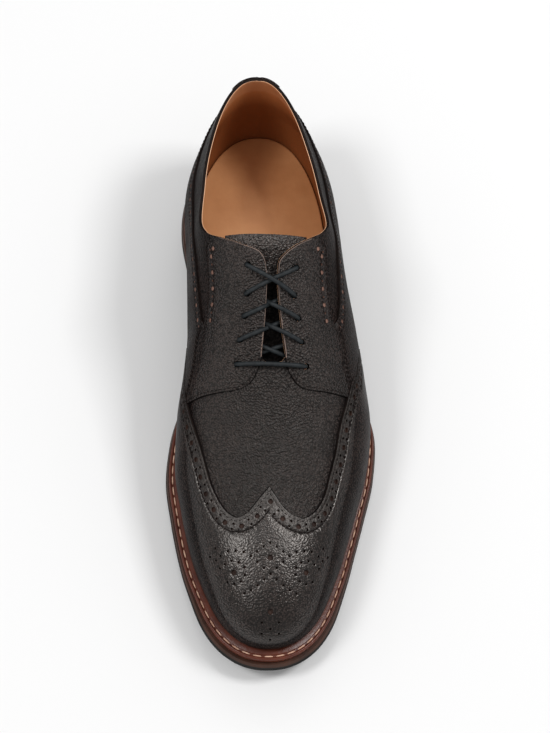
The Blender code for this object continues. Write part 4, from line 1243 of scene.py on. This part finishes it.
class Surface:
    """A procedural material, put together one step at a time."""

    def __init__(self, name, colour, rough):
        self.material = bpy.data.materials.new(name)
        self.material.use_nodes = True
        self.nodes = self.material.node_tree.nodes
        self.links = self.material.node_tree.links
        self.shader = self.nodes["Principled BSDF"]
        self.set("Base Color", (*colour, 1))
        self.set("Roughness", rough)
        self.height = None

    def set(self, socket, value):
        self.shader.inputs[socket].default_value = value

    def node(self, kind, **values):
        """A new node; a name with _ for a space sets an input, any other name a property."""
        item = self.nodes.new(kind)
        for key, value in values.items():
            socket = key.replace("_", " ")
            if socket in item.inputs:
                item.inputs[socket].default_value = value
            else:
                setattr(item, key, value)
        return item

    def place(self):
        return self.node("ShaderNodeTexCoord").outputs["Object"]

    def noise(self, scale, detail, rough):
        item = self.node("ShaderNodeTexNoise", Scale=scale, Detail=detail, Roughness=rough)
        self.links.new(self.place(), item.inputs["Vector"])
        return item.outputs["Fac"]

    def cells(self, scale):
        item = self.node("ShaderNodeTexVoronoi", feature="SMOOTH_F1")
        item.inputs["Scale"].default_value = scale
        self.links.new(self.place(), item.inputs["Vector"])
        return item.outputs["Distance"]

    def combine(self, operation, *values):
        """A math node, of numbers and of outputs of other nodes."""
        item = self.node("ShaderNodeMath", operation=operation)
        for socket, value in zip(item.inputs, values):
            if isinstance(value, float):
                socket.default_value = value
            else:
                self.links.new(value, socket)
        return item.outputs[0]

    def spread(self, source, *limits):
        """Maps a value from two limits to two others."""
        item = self.node("ShaderNodeMapRange")
        for socket, value in zip(("From Min", "From Max", "To Min", "To Max"), limits):
            item.inputs[socket].default_value = value
        self.links.new(source, item.inputs["Value"])
        return item.outputs[0]

    def ramp(self, source, stops, socket):
        """Maps a value to colours or greys; stops are (position, colour or grey)."""
        item = self.node("ShaderNodeValToRGB")
        bar = item.color_ramp
        while len(bar.elements) < len(stops):
            bar.elements.new(0.5)
        for element, (position, value) in zip(bar.elements, stops):
            element.position = position
            element.color = (*value, 1) if isinstance(value, tuple) else (value, value, value, 1)
        self.links.new(source, item.inputs["Fac"])
        self.links.new(item.outputs["Color"], self.shader.inputs[socket])

    def bump(self, source, distance):
        """Adds one layer of relief."""
        item = self.node("ShaderNodeBump", Strength=1.0, Distance=distance)
        self.links.new(source, item.inputs["Height"])
        if self.height:
            self.links.new(self.height, item.inputs["Normal"])
        self.height = item.outputs["Normal"]
        self.links.new(self.height, self.shader.inputs["Normal"])


def dull_edges(surface, face_on, edge_on):
    """Less shine where a surface turns away."""
    facing = surface.node("ShaderNodeLayerWeight", Blend=0.5)
    surface.ramp(facing.outputs["Facing"], [(0.15, face_on), (0.46, edge_on)], "Specular IOR Level")


def leather(name, dark, light, rough, grain, shine):
    """Pebbled leather, from display colours."""
    surface = Surface(name, linear(*light), rough)
    pebbles = surface.cells(1200)
    mixed = surface.combine("MULTIPLY_ADD", surface.noise(38, 4, 0.6), -0.5, pebbles)
    creases = tuple(c * 0.4 for c in linear(*dark))
    surface.ramp(mixed, [(0.0, linear(*light)), (0.16, linear(*dark)), (0.36, creases)], "Base Color")
    surface.ramp(surface.noise(55, 3, 0.6), [(0.30, rough - 0.05), (0.72, rough + 0.07)], "Roughness")
    dull_edges(surface, shine, 0.02)
    surface.set("Specular Tint", (1.0, 0.94, 0.89, 1))
    surface.bump(pebbles, 0.00045 * grain)
    surface.bump(surface.noise(620, 4, 0.6), 0.00020 * grain)
    surface.bump(surface.noise(46, 3, 0.5), 0.0004 * grain)
    return surface.material


def plain(name, dark, light, rough, scale=60, relief=0.0001, fine=900, shine=0.4):
    """Any other material, a little uneven, from display colours."""
    surface = Surface(name, linear(*light), rough)
    surface.ramp(surface.noise(scale, 4, 0.6), [(0.32, linear(*dark)), (0.70, linear(*light))], "Base Color")
    dull_edges(surface, shine, shine * 0.25)
    surface.bump(surface.noise(fine, 3, 0.6), relief)
    return surface.material


def lining_leather():
    """Tan lining with painted light: lighter toward the topline, and painted shade deeper in the shoe and
    toward the heel.
    """
    surface = Surface("lining_tan", linear(198, 134, 84), 0.6)
    place = surface.node("ShaderNodeSeparateXYZ")
    surface.links.new(surface.place(), place.inputs[0])
    # Painted light and shade: the colour lightens toward the topline and darkens deep in the shoe and toward
    # the heel.
    height = surface.spread(place.outputs["Z"], 0.050, 0.083, 0.0, 1.0)
    heel = surface.spread(place.outputs["Y"], 0.100, 0.140, 0.0, 0.5)
    tone = surface.combine("MULTIPLY_ADD", surface.noise(30, 4, 0.6), 0.3, height)
    surface.ramp(surface.combine("SUBTRACT", tone, heel),
                 [(0.12, linear(142, 84, 46)), (0.60, linear(190, 122, 74)), (1.0, linear(238, 186, 146))],
                 "Base Color")
    dull_edges(surface, 0.4, 0.1)
    surface.bump(surface.noise(700, 3, 0.6), 0.00012)
    return surface.material


# Colours are given as on a display, 0 to 255. Name, dark, light, roughness, grain, shine
LEATHERS = {
    "leather": ("leather_black_brown", (23, 17, 16), (50, 41, 38), 0.42, 1.4, 0.5),
    "wing": ("leather_wing", (23, 17, 16), (50, 41, 38), 0.34, 0.5, 1.0),
    "band": ("leather_band", (27, 22, 20), (50, 42, 39), 0.40, 0.55, 0.9),
    "tongue": ("leather_tongue", (28, 22, 20), (62, 52, 48), 0.40, 1.4, 0.9),
    # deep: painted shade, a near-black copy of the tongue leather for its part under the lace
    "deep": ("leather_tongue_painted_shade", (12, 9, 9), (22, 18, 17), 0.6, 0.8, 0.1),
}
# Name, dark, light, roughness, scale of the spots, relief, scale of the relief, shine
PLAIN = {
    "piping": ("leather_edge_pale", (98, 82, 74), (132, 112, 102), 0.7, 60, 0.0001, 900, 0.3),
    # seam: painted shade, for grooves and for the shadow under the edges of overlays
    "seam": ("leather_painted_shade", (14, 11, 11), (22, 18, 17), 0.7, 60, 0.0001, 900, 0.1),
    "cut": ("leather_cut_edge", (20, 15, 14), (34, 26, 23), 0.75, 60, 0.0001, 900, 0.1),
    "raw": ("leather_raw", (44, 31, 27), (72, 52, 44), 0.85),
    # This colour goes inside the larger holes beside the arms and on the discs in them.
    "hole_pale": ("leather_hole_pale", (112, 84, 74), (146, 114, 101), 0.8, 60, 0.0001, 900, 0.2),
    "flesh": ("leather_back", (60, 46, 40), (76, 60, 52), 0.9),
    # rim: pale colour for the lining's cut edge, a painted highlight where the rolled edge catches light
    "rim": ("lining_edge_painted_highlight", (212, 164, 130), (232, 190, 158), 0.7),
    "insole": ("insole_tan", (188, 128, 80), (214, 156, 106), 0.5, 22, 0.0001, 500),
    "welt": ("welt_brown", (78, 36, 26), (106, 54, 38), 0.33, 90, 0.00012, 600),
    "sole": ("sole_edge", (52, 32, 24), (74, 46, 34), 0.42, 80),
    "stack": ("heel_stack", (46, 32, 27), (64, 44, 36), 0.45, 70, 0.0001, 700),
    "cap": ("heel_rubber", (30, 30, 29), (40, 39, 38), 0.7, 80),
    "lace": ("lace_slate", (22, 26, 28), (38, 43, 46), 0.62, 500, 0.0001, 2500),
    "thread": ("thread_dark", (20, 15, 14), (34, 27, 25), 0.75, 400, 0.00005, 2500, 0.1),
    "pale_thread": ("thread_pale", (196, 152, 128), (226, 188, 164), 0.7, 300, 0.0001, 2200),
}
MATS = {**{key: leather(*row) for key, row in LEATHERS.items()},
        **{key: plain(*row) for key, row in PLAIN.items()}, "lining": lining_leather()}

make_panels()
make_soles()
make_tongue()
make_lace()
make_stitches()

# Setting: name, size, power and place of each lamp
LAMPS = (("right", (0.40, 0.40), 11, (0.80, 0.10, 1.45)), ("left", (0.40, 0.40), 8.5, (-0.80, -0.15, 1.45)),
         ("back", (0.9, 0.6), 2.5, (0.05, 1.1, 1.3)))
FLOOR_HALF = 1.6


def make_world(scene):
    """White all round, dimmer in reflections, as under small lamps."""
    world = bpy.data.worlds.new("studio")
    world.use_nodes = True
    tree = world.node_tree
    background = tree.nodes["Background"]
    background.inputs["Color"].default_value = (1.0, 1.0, 1.0, 1)
    ray = tree.nodes.new("ShaderNodeLightPath")
    strength = tree.nodes.new("ShaderNodeMapRange")
    strength.inputs["To Min"].default_value = 0.56
    strength.inputs["To Max"].default_value = 0.15
    tree.links.new(ray.outputs["Is Glossy Ray"], strength.inputs["Value"])
    tree.links.new(strength.outputs[0], background.inputs["Strength"])
    scene.world = world


def make_camera(scene):
    """The photo's camera, turned so that the one shoe is in the middle of the picture."""
    camera = bpy.data.cameras.new("camera")
    camera.sensor_width = 36
    camera.sensor_fit = "AUTO"
    camera.lens = 36 * FOCAL / PICTURE[1]
    camera.clip_start, camera.clip_end = 0.05, 20
    eye = bpy.data.objects.new("camera", camera)
    e = math.radians(CAMERA_ELEVATION)
    forward, up = Vector((0, math.cos(e), -math.sin(e))), Vector((0, math.sin(e), math.cos(e)))
    turn, right = math.atan(PICTURE_SHIFT / FOCAL), Vector((1, 0, 0))
    aim = forward * math.cos(turn) + right * math.sin(turn)
    side = right * math.cos(turn) - forward * math.sin(turn)
    place = (CAMERA_AT[0] - SHIFT, *CAMERA_AT[1:])
    eye.matrix_world = Matrix((*((side[k], up[k], -aim[k], place[k]) for k in range(3)), (0, 0, 0, 1)))
    scene.collection.objects.link(eye)
    scene.camera = eye
    scene.view_settings.view_transform = "Standard"


def make_setting():
    scene = bpy.context.scene
    mesh = bpy.data.meshes.new("floor")
    mesh.from_pydata([(x * FLOOR_HALF, y * FLOOR_HALF, 0) for x, y in ((-1, -1), (1, -1), (1, 1), (-1, 1))],
                     [], [(0, 1, 2, 3)])
    floor = bpy.data.objects.new("floor", mesh)
    scene.collection.objects.link(floor)
    mesh.materials.append(Surface("floor_paper", linear(234, 234, 234), 0.9).material)
    make_world(scene)
    for name, size, power, place in LAMPS:
        data = bpy.data.lights.new(name, "AREA")
        data.shape = "RECTANGLE"
        data.size, data.size_y = size
        data.energy = power
        light = bpy.data.objects.new(name, data)
        light.location = place
        light.rotation_euler = (-Vector(place)).to_track_quat("-Z", "Y").to_euler()
        scene.collection.objects.link(light)
    make_camera(scene)


make_setting()
